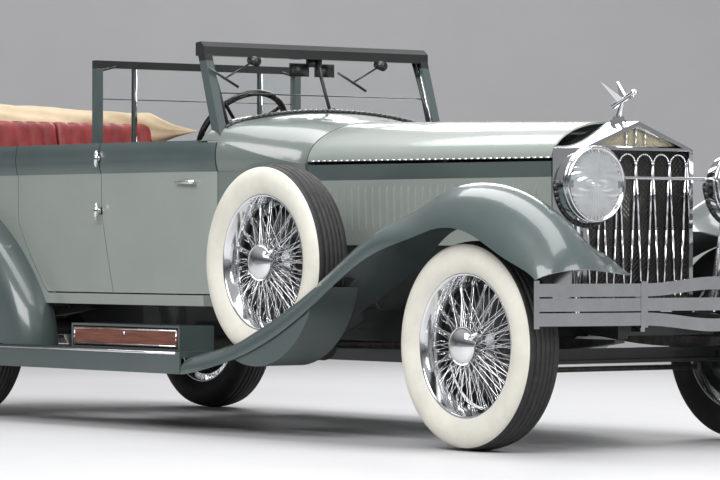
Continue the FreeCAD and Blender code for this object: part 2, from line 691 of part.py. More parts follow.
def windscreen_frame():
    posts = []
    for s in (-1, 1):
        y = sorted((s * (SCREEN_HALF_W - 22), s * (SCREEN_HALF_W + 18)))
        (x0, z0), (x1, z1) = SCREEN_BASE, SCREEN_TOP
        outline = [(x0 - 26, z0 - 2), (x0 + 30, z0 - 2), (x1 + 28, z1), (x1 - 22, z1)]
        posts.append(prism_xz(outline, *y))
    x, z = SCREEN_TOP
    outline = [(x - 30, z - 28), (x + 34, z - 28), (x + 34, z + 12), (x + 6, z + 34), (x - 30, z + 30)]
    header = prism_xz(outline, -SCREEN_HALF_W - 20, SCREEN_HALF_W + 20)
    return fused(posts + [header])


def windscreen_glass():
    """Front screen: lower and upper pane. Rear screen: one pane in three bays."""
    panes = []
    (x0, base_z), (x1, top_z) = SCREEN_BASE, SCREEN_TOP
    for z0, z1 in ((1300, 1452), (1456, 1620)):
        low, high = [x0 + (x1 - x0) * (z - base_z) / (top_z - base_z) for z in (z0, z1)]
        outline = [(low - 3, z0), (low + 3, z0), (high + 3, z1), (high - 3, z1)]
        pane = prism_xz(outline, -SCREEN_HALF_W + 24, SCREEN_HALF_W - 24)
        panes.append(pane.cut(arch_solid(drop=-4)) if z0 < 1400 else pane)
    for y0, y1 in ((-540, -362), (-346, 346), (362, 540)):
        panes.append(box(DIVIDER_X - 3, DIVIDER_X + 3, y0, y1, 1262, 1600))
    return Part.makeCompound(panes)


def divider_frame():
    posts = [box(DIVIDER_X - 12, DIVIDER_X + 12, y - 8, y + 8, 1250, 1610) for y in (-354, 354)]
    ends = [box(DIVIDER_X - 14, DIVIDER_X + 26, *sorted((s * 542, s * 575)), 1250, 1636) for s in (-1, 1)]
    top = box(DIVIDER_X - 16, DIVIDER_X + 16, -560, 560, 1602, 1636)
    return fused(posts + ends + [top])


# ---------------------------------------------------------------- cabin
def floor_pan():
    """Floor, toe board, wheel boxes and the boards that carry the seats."""
    plan = body_plan(inset=WALL + 1, z0=SILL_Z - 20, z1=1500)
    slab = plan.common(box(-2530, 560, -800, 800, SILL_Z, SILL_Z + FLOOR_T))
    wall = plan.common(box(572, 589, -800, 800, SILL_Z, 1290)).common(arch_solid(drop=WALL + 1, x_pad=40))
    link = plan.common(box(555, 589, -800, 800, SILL_Z, SILL_Z + FLOOR_T))
    pan = fused([slab, link, wall])
    for s in (-1, 1):
        pan = pan.cut(cyl_y(REAR_AXLE_X, *sorted((s * 570, s * 1000)), WHEEL_Z, ARCH_R))
    pan = pan.cut(box(-2250, -1010, -RAIL_Y - 60, RAIL_Y + 60, 500, 700))
    top = SILL_Z + FLOOR_T
    pieces = [pan]
    for s in (-1, 1):
        y0, y1 = sorted((s * 564, s * 700))
        yi, yo = sorted((s * 570, s * 720))
        shell = cyl_y(REAR_AXLE_X, y0, y1, WHEEL_Z, ARCH_R + SHEET)
        shell = shell.cut(cyl_y(REAR_AXLE_X, yi, yo, WHEEL_Z, ARCH_R))
        pieces.append(shell.common(plan).common(box(-2300, -1000, -800, 800, SILL_Z, 1000)))
    heel = box(-1402, -1382, -540, 540, top - 1, 738)
    pieces.append(heel.cut(box(-1410, -1370, -RAIL_Y - 60, RAIL_Y + 60, 500, 650)))
    pieces.append(box(-1900, -1390, -540, 540, 715, 738))
    pieces.append(box(-1900, -1880, -540, 540, 640, 738).cut(box(-1910, -1870, -400, 400, 600, 716)))
    tunnel = box(500, 620, -140, 140, 500, 770)
    pieces[0] = pieces[0].cut(tunnel)
    base = box(-620, -150, -540, 540, top - 1, 698)
    pieces.append(base.cut(box(-600, -170, -520, 520, top - 10, 680)))
    return fused(pieces)


def partition():
    return box(DIVIDER_X - 24, DIVIDER_X + 24, -640, 640, SILL_Z + FLOOR_T, 1250)


def front_seat():
    cushion = box(-640, -120, -560, 560, 700, 860)
    back = prism_xz([(-620, 862), (-500, 862), (-620, 1220), (-720, 1220)], -560, 560)
    return Part.makeCompound([cushion, back])


def rear_seat():
    cushion = box(-1900, -1400, -540, 540, 740, 890)
    back = prism_xz([(-1990, 892), (-1860, 892), (-1960, 1420), (-2070, 1420)], -560, 560)
    return Part.makeCompound([cushion, back])


def folded_top():
    stack = box(-2480, -2085, -520, 520, 1256, 1440)
    return stack.makeFillet(70, [e for e in stack.Edges if abs(e.tangentAt(e.FirstParameter).z) > 0.9])


STEER_CENTRE = (40.0, -330.0, 1290.0)
STEER_AXIS = (-math.cos(math.radians(35)), 0.0, math.sin(math.radians(35)))
STEER_R = 215.0


def steering_wheel():
    c, n = V(*STEER_CENTRE), V(*STEER_AXIS)
    rim = Part.makeTorus(STEER_R, 14, c, n)
    hub = Part.makeCylinder(36, 34, c - n * 17, n)
    spokes = []
    u = n.cross(V(0, 1, 0)).normalize()
    v = n.cross(u).normalize()
    for k in range(4):
        a = math.radians(45 + 90 * k)
        d = u * math.cos(a) + v * math.sin(a)
        spokes.append(Part.makeCylinder(8, STEER_R - 20, c + d * 20, d))
    return fused([rim, hub] + spokes)


def steering_column():
    c, n = V(*STEER_CENTRE), V(*STEER_AXIS)
    top = c - n * 22
    end = c - n * 560
    return Part.makeCylinder(24, (top - end).Length, end, n)


def dashboard():
    return box(250, 275, -560, 560, 1010, 1225)


def tail_lamps():
    pieces = []
    for s in (-1, 1):
        lamp = cyl((-2490, s * 640, 600), (-1, 0, 0), 42, 60)
        arm = rod((-2470, s * 640, 600), (-2470, s * 400, 500), 10)
        pieces.append(fused([lamp, arm]))
    return Part.makeCompound(pieces)


HINGE_Z = (950.0, 1182.0)
HINGE_LENGTH = 56.0
STRAP_T, STRAP_H = 2.0, 20.0
STRAP_GAP = 6.0
POST_Y0, POST_Y1 = -625.0, -590.0
POST_HALF_W = 50.0


def hinge_straps(t, h):
    """The right side's hinge straps, through the seam from the axis to the centre post."""
    y_axis = -(half_width(B_SEAM_X) + HINGE_PROUD)
    x0, x1 = B_SEAM_X - t / 2, B_SEAM_X + t / 2
    return [box(x0, x1, y_axis, POST_Y0 + 1, z - h / 2, z + h / 2) for z in HINGE_Z]


def door_frame():
    """Centre post of the right side with its hinges and the foot that ties it to the partition."""
    y_axis = -(half_width(B_SEAM_X) + HINGE_PROUD)
    floor_z = SILL_Z + FLOOR_T
    post = box(B_SEAM_X - POST_HALF_W, B_SEAM_X + POST_HALF_W, POST_Y0, POST_Y1, floor_z, BELT_Z - 4)
    foot = box(DIVIDER_X, B_SEAM_X, POST_Y0, POST_Y1, floor_z, floor_z + 30)
    barrels = [cyl((B_SEAM_X, y_axis, z - HINGE_LENGTH / 2), (0, 0, 1), HINGE_R, HINGE_LENGTH)
               for z in HINGE_Z]
    return fused([post, foot] + hinge_straps(STRAP_T, STRAP_H) + barrels)


def build():
    parts = {}
    cowl, tub = body_shell()
    low_cowl = cowl.common(box(COWL_REAR_X, 700, -1000, 1000, 400, BELT_Z))
    slots = fused(hinge_straps(STRAP_T + 2 * STRAP_GAP + 2, STRAP_H + 2 * STRAP_GAP))
    holes = []
    for side, word in ((-1, "right"), (1, "left")):
        y0, y1 = sorted((side * 560.0, side * 1000.0))
        for name, outline in (("front_door", FRONT_DOOR), ("rear_door", REAR_DOOR)):
            panel = outline_solid(outline, -SEAM / 2, y0, y1)
            pieces = [tub.common(panel)]
            if name == "front_door":
                pieces.append(low_cowl.common(panel))
            door = fused(pieces).cut(slots if side < 0 else mirrored(slots))
            if name == "rear_door":
                door = door.cut(cyl_y(REAR_AXLE_X, *sorted((side * 500, side * 1000)), WHEEL_Z, ARCH_R + 8))
            parts[name + "_" + word] = door
            holes.append(outline_solid(outline, SEAM / 2, y0, y1))
    for hole in holes:
        tub = tub.cut(hole)
        cowl = cowl.cut(hole)
    for side in (-1, 1):
        tub = tub.cut(cyl_y(REAR_AXLE_X, *sorted((side * 560, side * 1000)), WHEEL_Z, ARCH_R - 10))
    deck = body_plan(inset=WALL - 1).common(box(-2560, -2090, -700, 700, 1215, 1245))
    parts["body_tub"] = max(fused([tub, deck]).Solids, key=lambda part: part.Volume)
    parts["cowl"] = cowl
    parts["floor"] = floor_pan()
    parts["partition"] = fused([partition(), door_frame(), mirrored(door_frame())])
    for side, word in ((-1, "right"), (1, "left")):
        top, low = hood_panels(side)
        parts["hood_top_" + word] = top
        parts["hood_side_" + word] = low
    parts["hood_ledges"] = Part.makeCompound([hood_ledge(-1), hood_ledge(1)])
    parts["radiator"] = fused([radiator_shell(), radiator_core(), mascot()])
    wing = spare_well(front_wing())
    parts["front_wings"] = both(wing)
    rear = rear_wing().cut(body_plan()).cut(box(REAR_AXLE_X, 0, -1000, 0, 200, BOARD_TOP_Z))
    rear = max(rear.Solids, key=lambda part: part.Volume)
    parts["rear_wings"] = both(rear)
    parts["running_boards"] = both(running_board())
    parts["toolboxes"] = both(toolbox())
    parts["toolbox_flap_right"] = toolbox_flap()
    parts["toolbox_flap_left"] = mirrored(toolbox_flap())
    parts["headlamps"] = headlamps()
    parts["bumpers"] = Part.makeCompound([bumper(1, 2605, 2700, HALF_LENGTH, 2601),
                                          bumper(-1, 2680, 2742, REAR_END, 2601)])
    frame = windscreen_frame().cut(cowl)
    frame = max(frame.Solids, key=lambda part: part.Volume)
    parts["screen_frames"] = Part.makeCompound([frame, divider_frame()])
    parts["screen_glass"] = windscreen_glass()
    parts["front_seat"] = front_seat()
    parts["rear_seat"] = rear_seat()
    parts["folded_top"] = folded_top()
    parts["steering_wheel"] = steering_wheel()
    parts["dashboard"] = fused([dashboard(), steering_column()])
    parts["tail_lamps"] = tail_lamps()
    parts["chassis_frame"] = chassis_frame()
    parts["engine"] = engine()
    parts["front_axle"] = front_axle()
    parts["rear_axle"] = rear_axle()
    parts["leaf_springs"] = leaf_springs()
    parts["exhaust"] = exhaust()
    parts["fuel_tank"] = fuel_tank()
    parts["knuckle_right"] = knuckle(-1)
    parts["knuckle_left"] = knuckle(1)
    parts["tie_rod"] = tie_rod()
    base_wheel = wire_wheel(0, 0, 0, -1)
    base_tyre = tyre(0, 0, 0)
    spots = {"front": (FRONT_AXLE_X, FRONT_TRACK / 2), "rear": (REAR_AXLE_X, REAR_TRACK / 2)}
    for end, (x, y) in spots.items():
        for side, word in ((-1, "right"), (1, "left")):
            w, t = base_wheel.copy(), base_tyre.copy()
            if side > 0:
                w = mirrored(w)
            w.translate(V(x, side * y, WHEEL_Z))
            t.translate(V(x, side * y, WHEEL_Z))
            parts["wheel_%s_%s" % (end, word)] = w
            parts["tyre_%s_%s" % (end, word)] = t
    spare = wire_wheel(0, 0, 0, -1, bore=False)
    spare.translate(V(SPARE_X, -SPARE_Y, SPARE_Z))
    spare_tyre = base_tyre.copy()
    spare_tyre.translate(V(SPARE_X, -SPARE_Y, SPARE_Z))
    parts["spare_wheels"] = both(spare)
    parts["spare_tyres"] = both(spare_tyre)
    return parts


def main():
    os.makedirs("parts", exist_ok=True)
    for name, shape in build().items():
        solids = shape.Solids
        shape = solids[0] if len(solids) == 1 else Part.makeCompound(solids)
        print("%-20s solids %d  litres %.1f  valid %s" % (name, len(solids), shape.Volume / 1e6, shape.isValid()))
        shape.exportStep("parts/%s.step" % name)


main()
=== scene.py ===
"""Looks of the vintage convertible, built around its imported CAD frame.

Metres, +X forward, +Y to the car's left, +Z up, origin on the ground under the middle of the car.
"""

import math

import bpy
from mathutils import Matrix, Vector


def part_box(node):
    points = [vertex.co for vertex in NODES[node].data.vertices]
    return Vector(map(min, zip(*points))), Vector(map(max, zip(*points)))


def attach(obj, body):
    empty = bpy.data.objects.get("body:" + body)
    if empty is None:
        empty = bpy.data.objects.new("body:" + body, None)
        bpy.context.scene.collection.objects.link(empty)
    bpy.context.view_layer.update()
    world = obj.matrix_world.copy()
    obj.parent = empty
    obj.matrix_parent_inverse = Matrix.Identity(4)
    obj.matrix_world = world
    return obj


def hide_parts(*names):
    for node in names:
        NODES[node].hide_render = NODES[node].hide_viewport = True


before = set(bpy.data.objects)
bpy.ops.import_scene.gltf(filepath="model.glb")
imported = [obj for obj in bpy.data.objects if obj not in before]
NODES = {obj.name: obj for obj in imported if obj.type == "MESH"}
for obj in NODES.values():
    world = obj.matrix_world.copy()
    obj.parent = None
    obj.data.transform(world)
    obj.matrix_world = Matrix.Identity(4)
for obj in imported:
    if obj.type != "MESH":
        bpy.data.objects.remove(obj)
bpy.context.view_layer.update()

# ---------------------------------------------------------------- measures from the frame
SIDES = (("right", -1), ("left", 1))
TYRE_LOW, TYRE_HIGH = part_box("tyre_front_right")
TYRE_R = (TYRE_HIGH.z - TYRE_LOW.z) / 2
TYRE_W = TYRE_HIGH.y - TYRE_LOW.y
FRONT_AXLE_X = (TYRE_HIGH.x + TYRE_LOW.x) / 2
RIM_R = 0.286
BAND_LOW, BAND_HIGH = 1.118, 1.262  # the dark band round the body
STRIPE_LOW, STRIPE_HIGH = 1.075, 1.160  # the dark stripe along the hood's side
HEADER_LOW, HEADER_HIGH = 1.600, 1.700  # the screens' black top rails
DIVIDER_X = -0.770
DIVIDER_POSTS = (0.354, 0.556)
HINGE_X, HINGE_Y = -0.486, 0.750
HINGE_HEIGHTS = (0.950, 1.182)
HANDLE_X, HANDLE_Y, HANDLE_Z = 0.165, 0.655, 1.072
BOARD_EDGE_Y, BOARD_TOP = 0.886, 0.344
DASH_X, DIAL_Z = 0.250, 1.125


# ---------------------------------------------------------------- materials
def shader(name):
    """A new material with a Principled shader; returns (material, nodes, links, shader)."""
    mat = bpy.data.materials.new(name)
    mat.use_nodes = True
    nodes, links = mat.node_tree.nodes, mat.node_tree.links
    return mat, nodes, links, nodes["Principled BSDF"]


def place(nodes):
    """Object coordinates: the car's own frame, because each mesh is stored in it."""
    return nodes.new("ShaderNodeTexCoord").outputs["Object"]


def noise(nodes, links, scale, detail=4.0, rough=0.6):
    tex = nodes.new("ShaderNodeTexNoise")
    tex.inputs["Scale"].default_value = scale
    tex.inputs["Detail"].default_value = detail
    tex.inputs["Roughness"].default_value = rough
    links.new(place(nodes), tex.inputs["Vector"])
    return tex.outputs["Fac"]


def ramp(nodes, links, value, stops):
    node = nodes.new("ShaderNodeValToRGB")
    elements = node.color_ramp.elements
    while len(elements) < len(stops):
        elements.new(0.5)
    for element, (at, colour) in zip(elements, stops):
        element.position = at
        element.color = (*colour, 1.0)
    links.new(value, node.inputs["Fac"])
    return node.outputs["Color"]


def bump(nodes, links, height, bsdf, strength, distance):
    node = nodes.new("ShaderNodeBump")
    node.inputs["Strength"].default_value = strength
    node.inputs["Distance"].default_value = distance
    links.new(height, node.inputs["Height"])
    links.new(node.outputs["Normal"], bsdf.inputs["Normal"])


def rough_range(nodes, links, value, bsdf, low, high):
    node = nodes.new("ShaderNodeMapRange")
    node.inputs["To Min"].default_value = low
    node.inputs["To Max"].default_value = high
    links.new(value, node.inputs["Value"])
    links.new(node.outputs["Result"], bsdf.inputs["Roughness"])


SAGE = (0.26, 0.29, 0.265)
SAGE_DUSTY = (0.28, 0.31, 0.285)
DARK = (0.058, 0.082, 0.079)
DARK_DUSTY = (0.070, 0.096, 0.092)
# The cowl's sage paint darkened to a mid tone: painted shade and painted dark reflection on the cowl's top.
SHADED_SAGE = (0.125, 0.150, 0.140)
SHADED_SAGE_DUSTY = (0.140, 0.166, 0.155)
JET = (0.008, 0.009, 0.009)
JET_DUSTY = (0.015, 0.016, 0.016)


def paint(name, colour, dusty, band=None):
    """Old cellulose paint, polished. band = (z from, z to, colour, dusty colour) is a second tone."""
    mat, nodes, links, bsdf = shader(name)
    cloud = noise(nodes, links, 3.0, 6.0)
    base = ramp(nodes, links, cloud, [(0.35, colour), (0.70, dusty)])
    if band:
        low, high, tone, tone_dusty = band
        split = nodes.new("ShaderNodeSeparateXYZ")
        links.new(place(nodes), split.inputs["Vector"])
        above = nodes.new("ShaderNodeMath")
        above.operation = "GREATER_THAN"
        above.inputs[1].default_value = low
        links.new(split.outputs["Z"], above.inputs[0])
        below = nodes.new("ShaderNodeMath")
        below.operation = "LESS_THAN"
        below.inputs[1].default_value = high
        links.new(split.outputs["Z"], below.inputs[0])
        both = nodes.new("ShaderNodeMath")
        both.operation = "MULTIPLY"
        links.new(above.outputs[0], both.inputs[0])
        links.new(below.outputs[0], both.inputs[1])
        second = ramp(nodes, links, cloud, [(0.35, tone), (0.70, tone_dusty)])
        mix = nodes.new("ShaderNodeMix")
        mix.data_type = "RGBA"
        links.new(both.outputs[0], mix.inputs["Factor"])
        links.new(base, mix.inputs["A"])
        links.new(second, mix.inputs["B"])
        base = mix.outputs["Result"]
    links.new(base, bsdf.inputs["Base Color"])
    rough_range(nodes, links, noise(nodes, links, 9.0), bsdf, 0.28, 0.38)
    bsdf.inputs["Coat Weight"].default_value = 0.8
    bsdf.inputs["Coat Roughness"].default_value = 0.08
    bump(nodes, links, noise(nodes, links, 260.0, 2.0), bsdf, 0.04, 0.0004)
    return mat


def plain(name, low, high, scale, metallic, rough, grain=0.1, depth=0.0005, coat=0.0):
    """A finish with mottled colour, uneven gloss and a fine grain."""
    mat, nodes, links, bsdf = shader(name)
    spots = noise(nodes, links, scale, 6.0)
    links.new(ramp(nodes, links, spots, [(0.3, low), (0.7, high)]), bsdf.inputs["Base Color"])
    bsdf.inputs["Metallic"].default_value = metallic
    rough_range(nodes, links, noise(nodes, links, scale * 2.5), bsdf, rough[0], rough[1])
    bsdf.inputs["Coat Weight"].default_value = coat
    bump(nodes, links, noise(nodes, links, scale * 12.0, 3.0), bsdf, grain, depth)
    return mat


def wood(name, low, high):
    """Varnished mahogany, its grain running along the car."""
    mat, nodes, links, bsdf = shader(name)
    stretch = nodes.new("ShaderNodeMapping")
    stretch.inputs["Scale"].default_value = (1.5, 22.0, 22.0)
    links.new(place(nodes), stretch.inputs["Vector"])
    grain = nodes.new("ShaderNodeTexNoise")
    grain.inputs["Scale"].default_value = 4.0
    grain.inputs["Detail"].default_value = 10.0
    grain.inputs["Distortion"].default_value = 0.6
    links.new(stretch.outputs["Vector"], grain.inputs["Vector"])
    colour = ramp(nodes, links, grain.outputs["Fac"], [(0.35, low), (0.65, high)])
    links.new(colour, bsdf.inputs["Base Color"])
    rough_range(nodes, links, grain.outputs["Fac"], bsdf, 0.25, 0.4)
    bsdf.inputs["Coat Weight"].default_value = 0.7
    bsdf.inputs["Coat Roughness"].default_value = 0.1
    bump(nodes, links, grain.outputs["Fac"], bsdf, 0.12, 0.0006)
    return mat


def leather(name, low, high):
    mat, nodes, links, bsdf = shader(name)
    spots = noise(nodes, links, 14.0, 6.0)
    links.new(ramp(nodes, links, spots, [(0.3, low), (0.75, high)]), bsdf.inputs["Base Color"])
    cells = nodes.new("ShaderNodeTexVoronoi")
    cells.feature = "DISTANCE_TO_EDGE"
    cells.inputs["Scale"].default_value = 420.0
    links.new(place(nodes), cells.inputs["Vector"])
    rough_range(nodes, links, spots, bsdf, 0.36, 0.52)
    bump(nodes, links, cells.outputs["Distance"], bsdf, 0.25, 0.0008)
    return mat


def canvas(name, low, high):
    """Woven top cloth: two crossed waves a millimetre apart."""
    mat, nodes, links, bsdf = shader(name)
    spots = noise(nodes, links, 7.0, 8.0)
    links.new(ramp(nodes, links, spots, [(0.3, low), (0.7, high)]), bsdf.inputs["Base Color"])
    total = None
    for axis in ("X", "Y", "Z"):
        wave = nodes.new("ShaderNodeTexWave")
        wave.bands_direction = axis
        wave.inputs["Scale"].default_value = 160.0
        wave.inputs["Distortion"].default_value = 0.8
        links.new(place(nodes), wave.inputs["Vector"])
        if total is None:
            total = wave.outputs["Fac"]
        else:
            add = nodes.new("ShaderNodeMath")
            add.operation = "ADD"
            links.new(total, add.inputs[0])
            links.new(wave.outputs["Fac"], add.inputs[1])
            total = add.outputs[0]
    bsdf.inputs["Roughness"].default_value = 0.9
    bsdf.inputs["Sheen Weight"].default_value = 0.3
    bump(nodes, links, total, bsdf, 0.3, 0.0008)
    return mat


def glass(name, tint):
    mat, nodes, links, bsdf = shader(name)
    colour = ramp(nodes, links, noise(nodes, links, 2.0), [(0.3, tint), (0.8, (1, 1, 1))])
    links.new(colour, bsdf.inputs["Base Color"])
    bsdf.inputs["Transmission Weight"].default_value = 1.0
    bsdf.inputs["IOR"].default_value = 1.15
    rough_range(nodes, links, noise(nodes, links, 5.0), bsdf, 0.0, 0.02)
    return mat


BODY = paint("body_paint", SAGE, SAGE_DUSTY)
# The cowl wears the darkened sage, a painted shade over its real sage paint.
COWL_SHADED = paint("cowl_painted_shade", SHADED_SAGE, SHADED_SAGE_DUSTY)
BODY_BAND = paint("body_paint_banded", SAGE, SAGE_DUSTY, (BAND_LOW, BAND_HIGH, DARK, DARK_DUSTY))
WING = paint("wing_paint", DARK, DARK_DUSTY)
BLACK = plain("black_enamel", (0.006, 0.007, 0.007), (0.016, 0.017, 0.017), 6.0, 0.0, (0.3, 0.5), coat=0.4)
CHROME = plain("chrome", (0.74, 0.75, 0.76), (0.84, 0.85, 0.86), 12.0, 1.0, (0.04, 0.11), 0.02, 0.0002)
STEEL = plain("spring_steel", (0.05, 0.05, 0.05), (0.12, 0.11, 0.10), 30.0, 0.8, (0.4, 0.6), 0.3)
IRON = plain("cast_iron", (0.07, 0.07, 0.065), (0.15, 0.15, 0.14), 40.0, 0.6, (0.5, 0.7), 0.5, 0.001)
RUBBER = plain("tyre_rubber", (0.010, 0.010, 0.010), (0.026, 0.025, 0.024), 30.0, 0.0, (0.55, 0.75), 0.3)
WHITEWALL = plain("white_wall", (0.62, 0.60, 0.53), (0.72, 0.70, 0.62), 9.0, 0.0, (0.45, 0.6), 0.15)
LEATHER = leather("seat_leather", (0.13, 0.012, 0.012), (0.26, 0.030, 0.028))
CANVAS = canvas("top_cloth", (0.42, 0.32, 0.20), (0.56, 0.45, 0.30))
WOOD = wood("mahogany", (0.10, 0.022, 0.010), (0.24, 0.065, 0.028))
CARPET = plain("carpet", (0.05, 0.04, 0.035), (0.10, 0.085, 0.075), 120.0, 0.0, (0.9, 1.0), 0.8, 0.002)
GLASS = glass("window_glass", (0.94, 0.98, 0.97))
CREAM = plain("cream_mesh", (0.50, 0.46, 0.34), (0.66, 0.62, 0.48), 40.0, 0.3, (0.35, 0.5), 0.2)
LENS = plain("lamp_lens", (0.62, 0.66, 0.67), (0.80, 0.83, 0.84), 20.0, 0.55, (0.06, 0.14), 0.05, coat=0.8)
HOOD_SIDE = paint("hood_side_paint", SAGE, SAGE_DUSTY, (STRIPE_LOW, STRIPE_HIGH, DARK, DARK_DUSTY))
SCREEN_PAINT = paint("screen_paint", DARK, DARK_DUSTY, (HEADER_LOW, HEADER_HIGH, JET, JET_DUSTY))
BAKELITE = plain("black_plastic", (0.010, 0.010, 0.010), (0.02, 0.02, 0.02), 20.0, 0.0, (0.15, 0.25), 0.05)

FINISH = {
    "body_tub": BODY_BAND, "cowl": COWL_SHADED, "floor": CARPET, "partition": LEATHER, "hood_ledges": BLACK,
    "radiator": CHROME, "front_wings": WING, "rear_wings": WING, "running_boards": WING, "toolboxes": WING,
    "headlamps": CHROME, "bumpers": CHROME, "screen_frames": SCREEN_PAINT, "screen_glass": GLASS,
    "front_seat": LEATHER, "rear_seat": LEATHER, "folded_top": CANVAS, "dashboard": WOOD,
    "tail_lamps": CHROME,
    "chassis_frame": BLACK, "engine": IRON, "front_axle": BLACK, "rear_axle": BLACK, "leaf_springs": STEEL,
    "exhaust": STEEL, "fuel_tank": BLACK, "spare_wheels": CHROME, "spare_tyres": RUBBER, "tie_rod": STEEL,
    "steering_wheel": BAKELITE,
}
for word, _ in SIDES:
    FINISH["front_door_" + word] = FINISH["rear_door_" + word] = BODY_BAND
    FINISH["hood_top_" + word] = BODY
    FINISH["hood_side_" + word] = HOOD_SIDE
    FINISH["toolbox_flap_" + word] = WOOD
    FINISH["knuckle_" + word] = BLACK
    for end in ("front", "rear"):
        FINISH["wheel_%s_%s" % (end, word)] = CHROME
        FINISH["tyre_%s_%s" % (end, word)] = RUBBER

for name, obj in NODES.items():
    obj.data.materials.clear()
    obj.data.materials.append(FINISH[name])


# ---------------------------------------------------------------- mesh helpers
def add_piece(name, verts, faces, materials, body="root", smooth=True, marks=None, slot=None):
    """A mesh piece that rides on a body. marks gives each face its material's number."""
    mesh = bpy.data.meshes.new(name)
    mesh.from_pydata([tuple(v) for v in verts], [], faces)
    for material in materials if isinstance(materials, (list, tuple)) else [materials]:
        mesh.materials.append(material)
    for k, face in enumerate(mesh.polygons):
        face.use_smooth = smooth
        if marks:
            face.material_index = marks[k]
    mesh.validate()
    obj = bpy.data.objects.new(name, mesh)
    bpy.context.scene.collection.objects.link(obj)
    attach(obj, body)
    return obj


class Shape:
    """Collects vertices and faces of many small forms into one mesh."""

    def __init__(self):
        self.verts, self.faces, self.marks = [], [], []

    def add(self, verts, faces, mark=0):
        base = len(self.verts)
        self.verts += [Vector(v) for v in verts]
        self.faces += [tuple(base + k for k in face) for face in faces]
        self.marks += [mark] * len(faces)

    def turned(self, profile, centre, axis="y", steps=72, mark=0, closed=True):
        """A (radius, along) outline turned about an axis through centre. marks may vary by band."""
        verts, faces = [], []
        count = len(profile)
        for k in range(steps):
            a = 2 * math.pi * k / steps
            c, s = math.cos(a), math.sin(a)
            for r, t in profile:
                if axis == "y":
                    verts.append((centre[0] + r * c, centre[1] + t, centre[2] + r * s))
                else:
                    verts.append((centre[0] + t, centre[1] + r * c, centre[2] + r * s))
        spans = count if closed else count - 1
        for k in range(steps):
            n = (k + 1) % steps
            for j in range(spans):
                m = (j + 1) % count
                faces.append((k * count + j, k * count + m, n * count + m, n * count + j))
        base = len(self.verts)
        self.verts += [Vector(v) for v in verts]
        for i, face in enumerate(faces):
            self.faces.append(tuple(base + k for k in face))
            j = i % spans
            self.marks.append(mark[j] if isinstance(mark, (list, tuple)) else mark)

    def rod(self, a, b, r0, r1=None, sides=8, mark=0, caps=True):
        a, b = Vector(a), Vector(b)
        r1 = r0 if r1 is None else r1
        along = (b - a).normalized()
        side = along.orthogonal().normalized()
        up = along.cross(side)
        verts = []
        for centre, r in ((a, r0), (b, r1)):
            for k in range(sides):
                t = 2 * math.pi * k / sides
                verts.append(centre + side * (r * math.cos(t)) + up * (r * math.sin(t)))
        faces = [(k, (k + 1) % sides, sides + (k + 1) % sides, sides + k) for k in range(sides)]
        if caps:
            faces += [tuple(range(sides))[::-1], tuple(range(sides, 2 * sides))]
        self.add(verts, faces, mark)

    def path(self, points, r, sides=8, mark=0):
        for a, b in zip(points, points[1:]):
            self.rod(a, b, r, sides=sides, mark=mark)

    def block(self, low, high, mark=0):
        (x0, y0, z0), (x1, y1, z1) = low, high
        verts = [(x, y, z) for x in (x0, x1) for y in (y0, y1) for z in (z0, z1)]
        faces = [(0, 1, 3, 2), (4, 6, 7, 5), (0, 4, 5, 1), (2, 3, 7, 6), (0, 2, 6, 4), (1, 5, 7, 3)]
        self.add(verts, faces, mark)

    def piece(self, name, materials, body="root", **kw):
        return add_piece(name, self.verts, self.faces, materials, body, marks=self.marks, **kw)


# ---------------------------------------------------------------- wheels and tyres
def tyre_profile():
    """(radius, y) outline with its material: 0 rubber, 1 white wall. The white side faces +y."""
    w, r0 = TYRE_W / 2, RIM_R - 0.010
    side = [(r0, 0.062), (r0 + 0.012, 0.074), (r0 + 0.040, w - 0.006), (r0 + 0.066, w - 0.0005),
            (TYRE_R - 0.050, w - 0.003), (TYRE_R - 0.028, w - 0.010), (TYRE_R - 0.013, w - 0.022)]
    marks = [1, 1, 1, 1, 1, 1]
    ribs = 6
    tread = []
    half = w - 0.030

    def crown(y):
        return TYRE_R - 0.0005 - 0.010 * (y / half) ** 2

    for k in range(ribs):
        a = half - 2 * half * k / ribs
        b = half - 2 * half * (k + 0.78) / ribs
        tread += [(crown(a), a), (crown(b), b)]
        if k < ribs - 1:
            c = half - 2 * half * (k + 1) / ribs
            tread += [(crown(b) - 0.007, b - 0.001), (crown(c) - 0.007, c + 0.001)]
    inner = [(r, -y) for r, y in reversed(side)]
    profile = side + tread + inner
    marks = marks + [0] * (len(tread) + 1) + [0] * (len(side) - 1) + [0]
    return profile, marks


def add_tyre(name, centre, sign, body):
    """A ribbed tyre with its white wall on the outer side."""
    profile, marks = tyre_profile()
    if sign < 0:
        profile = [(r, -y) for r, y in profile]
    shape = Shape()
    shape.turned(profile, centre, steps=112, mark=marks)
    return shape.piece(name, [RUBBER, WHITEWALL], body, slot="tyre")


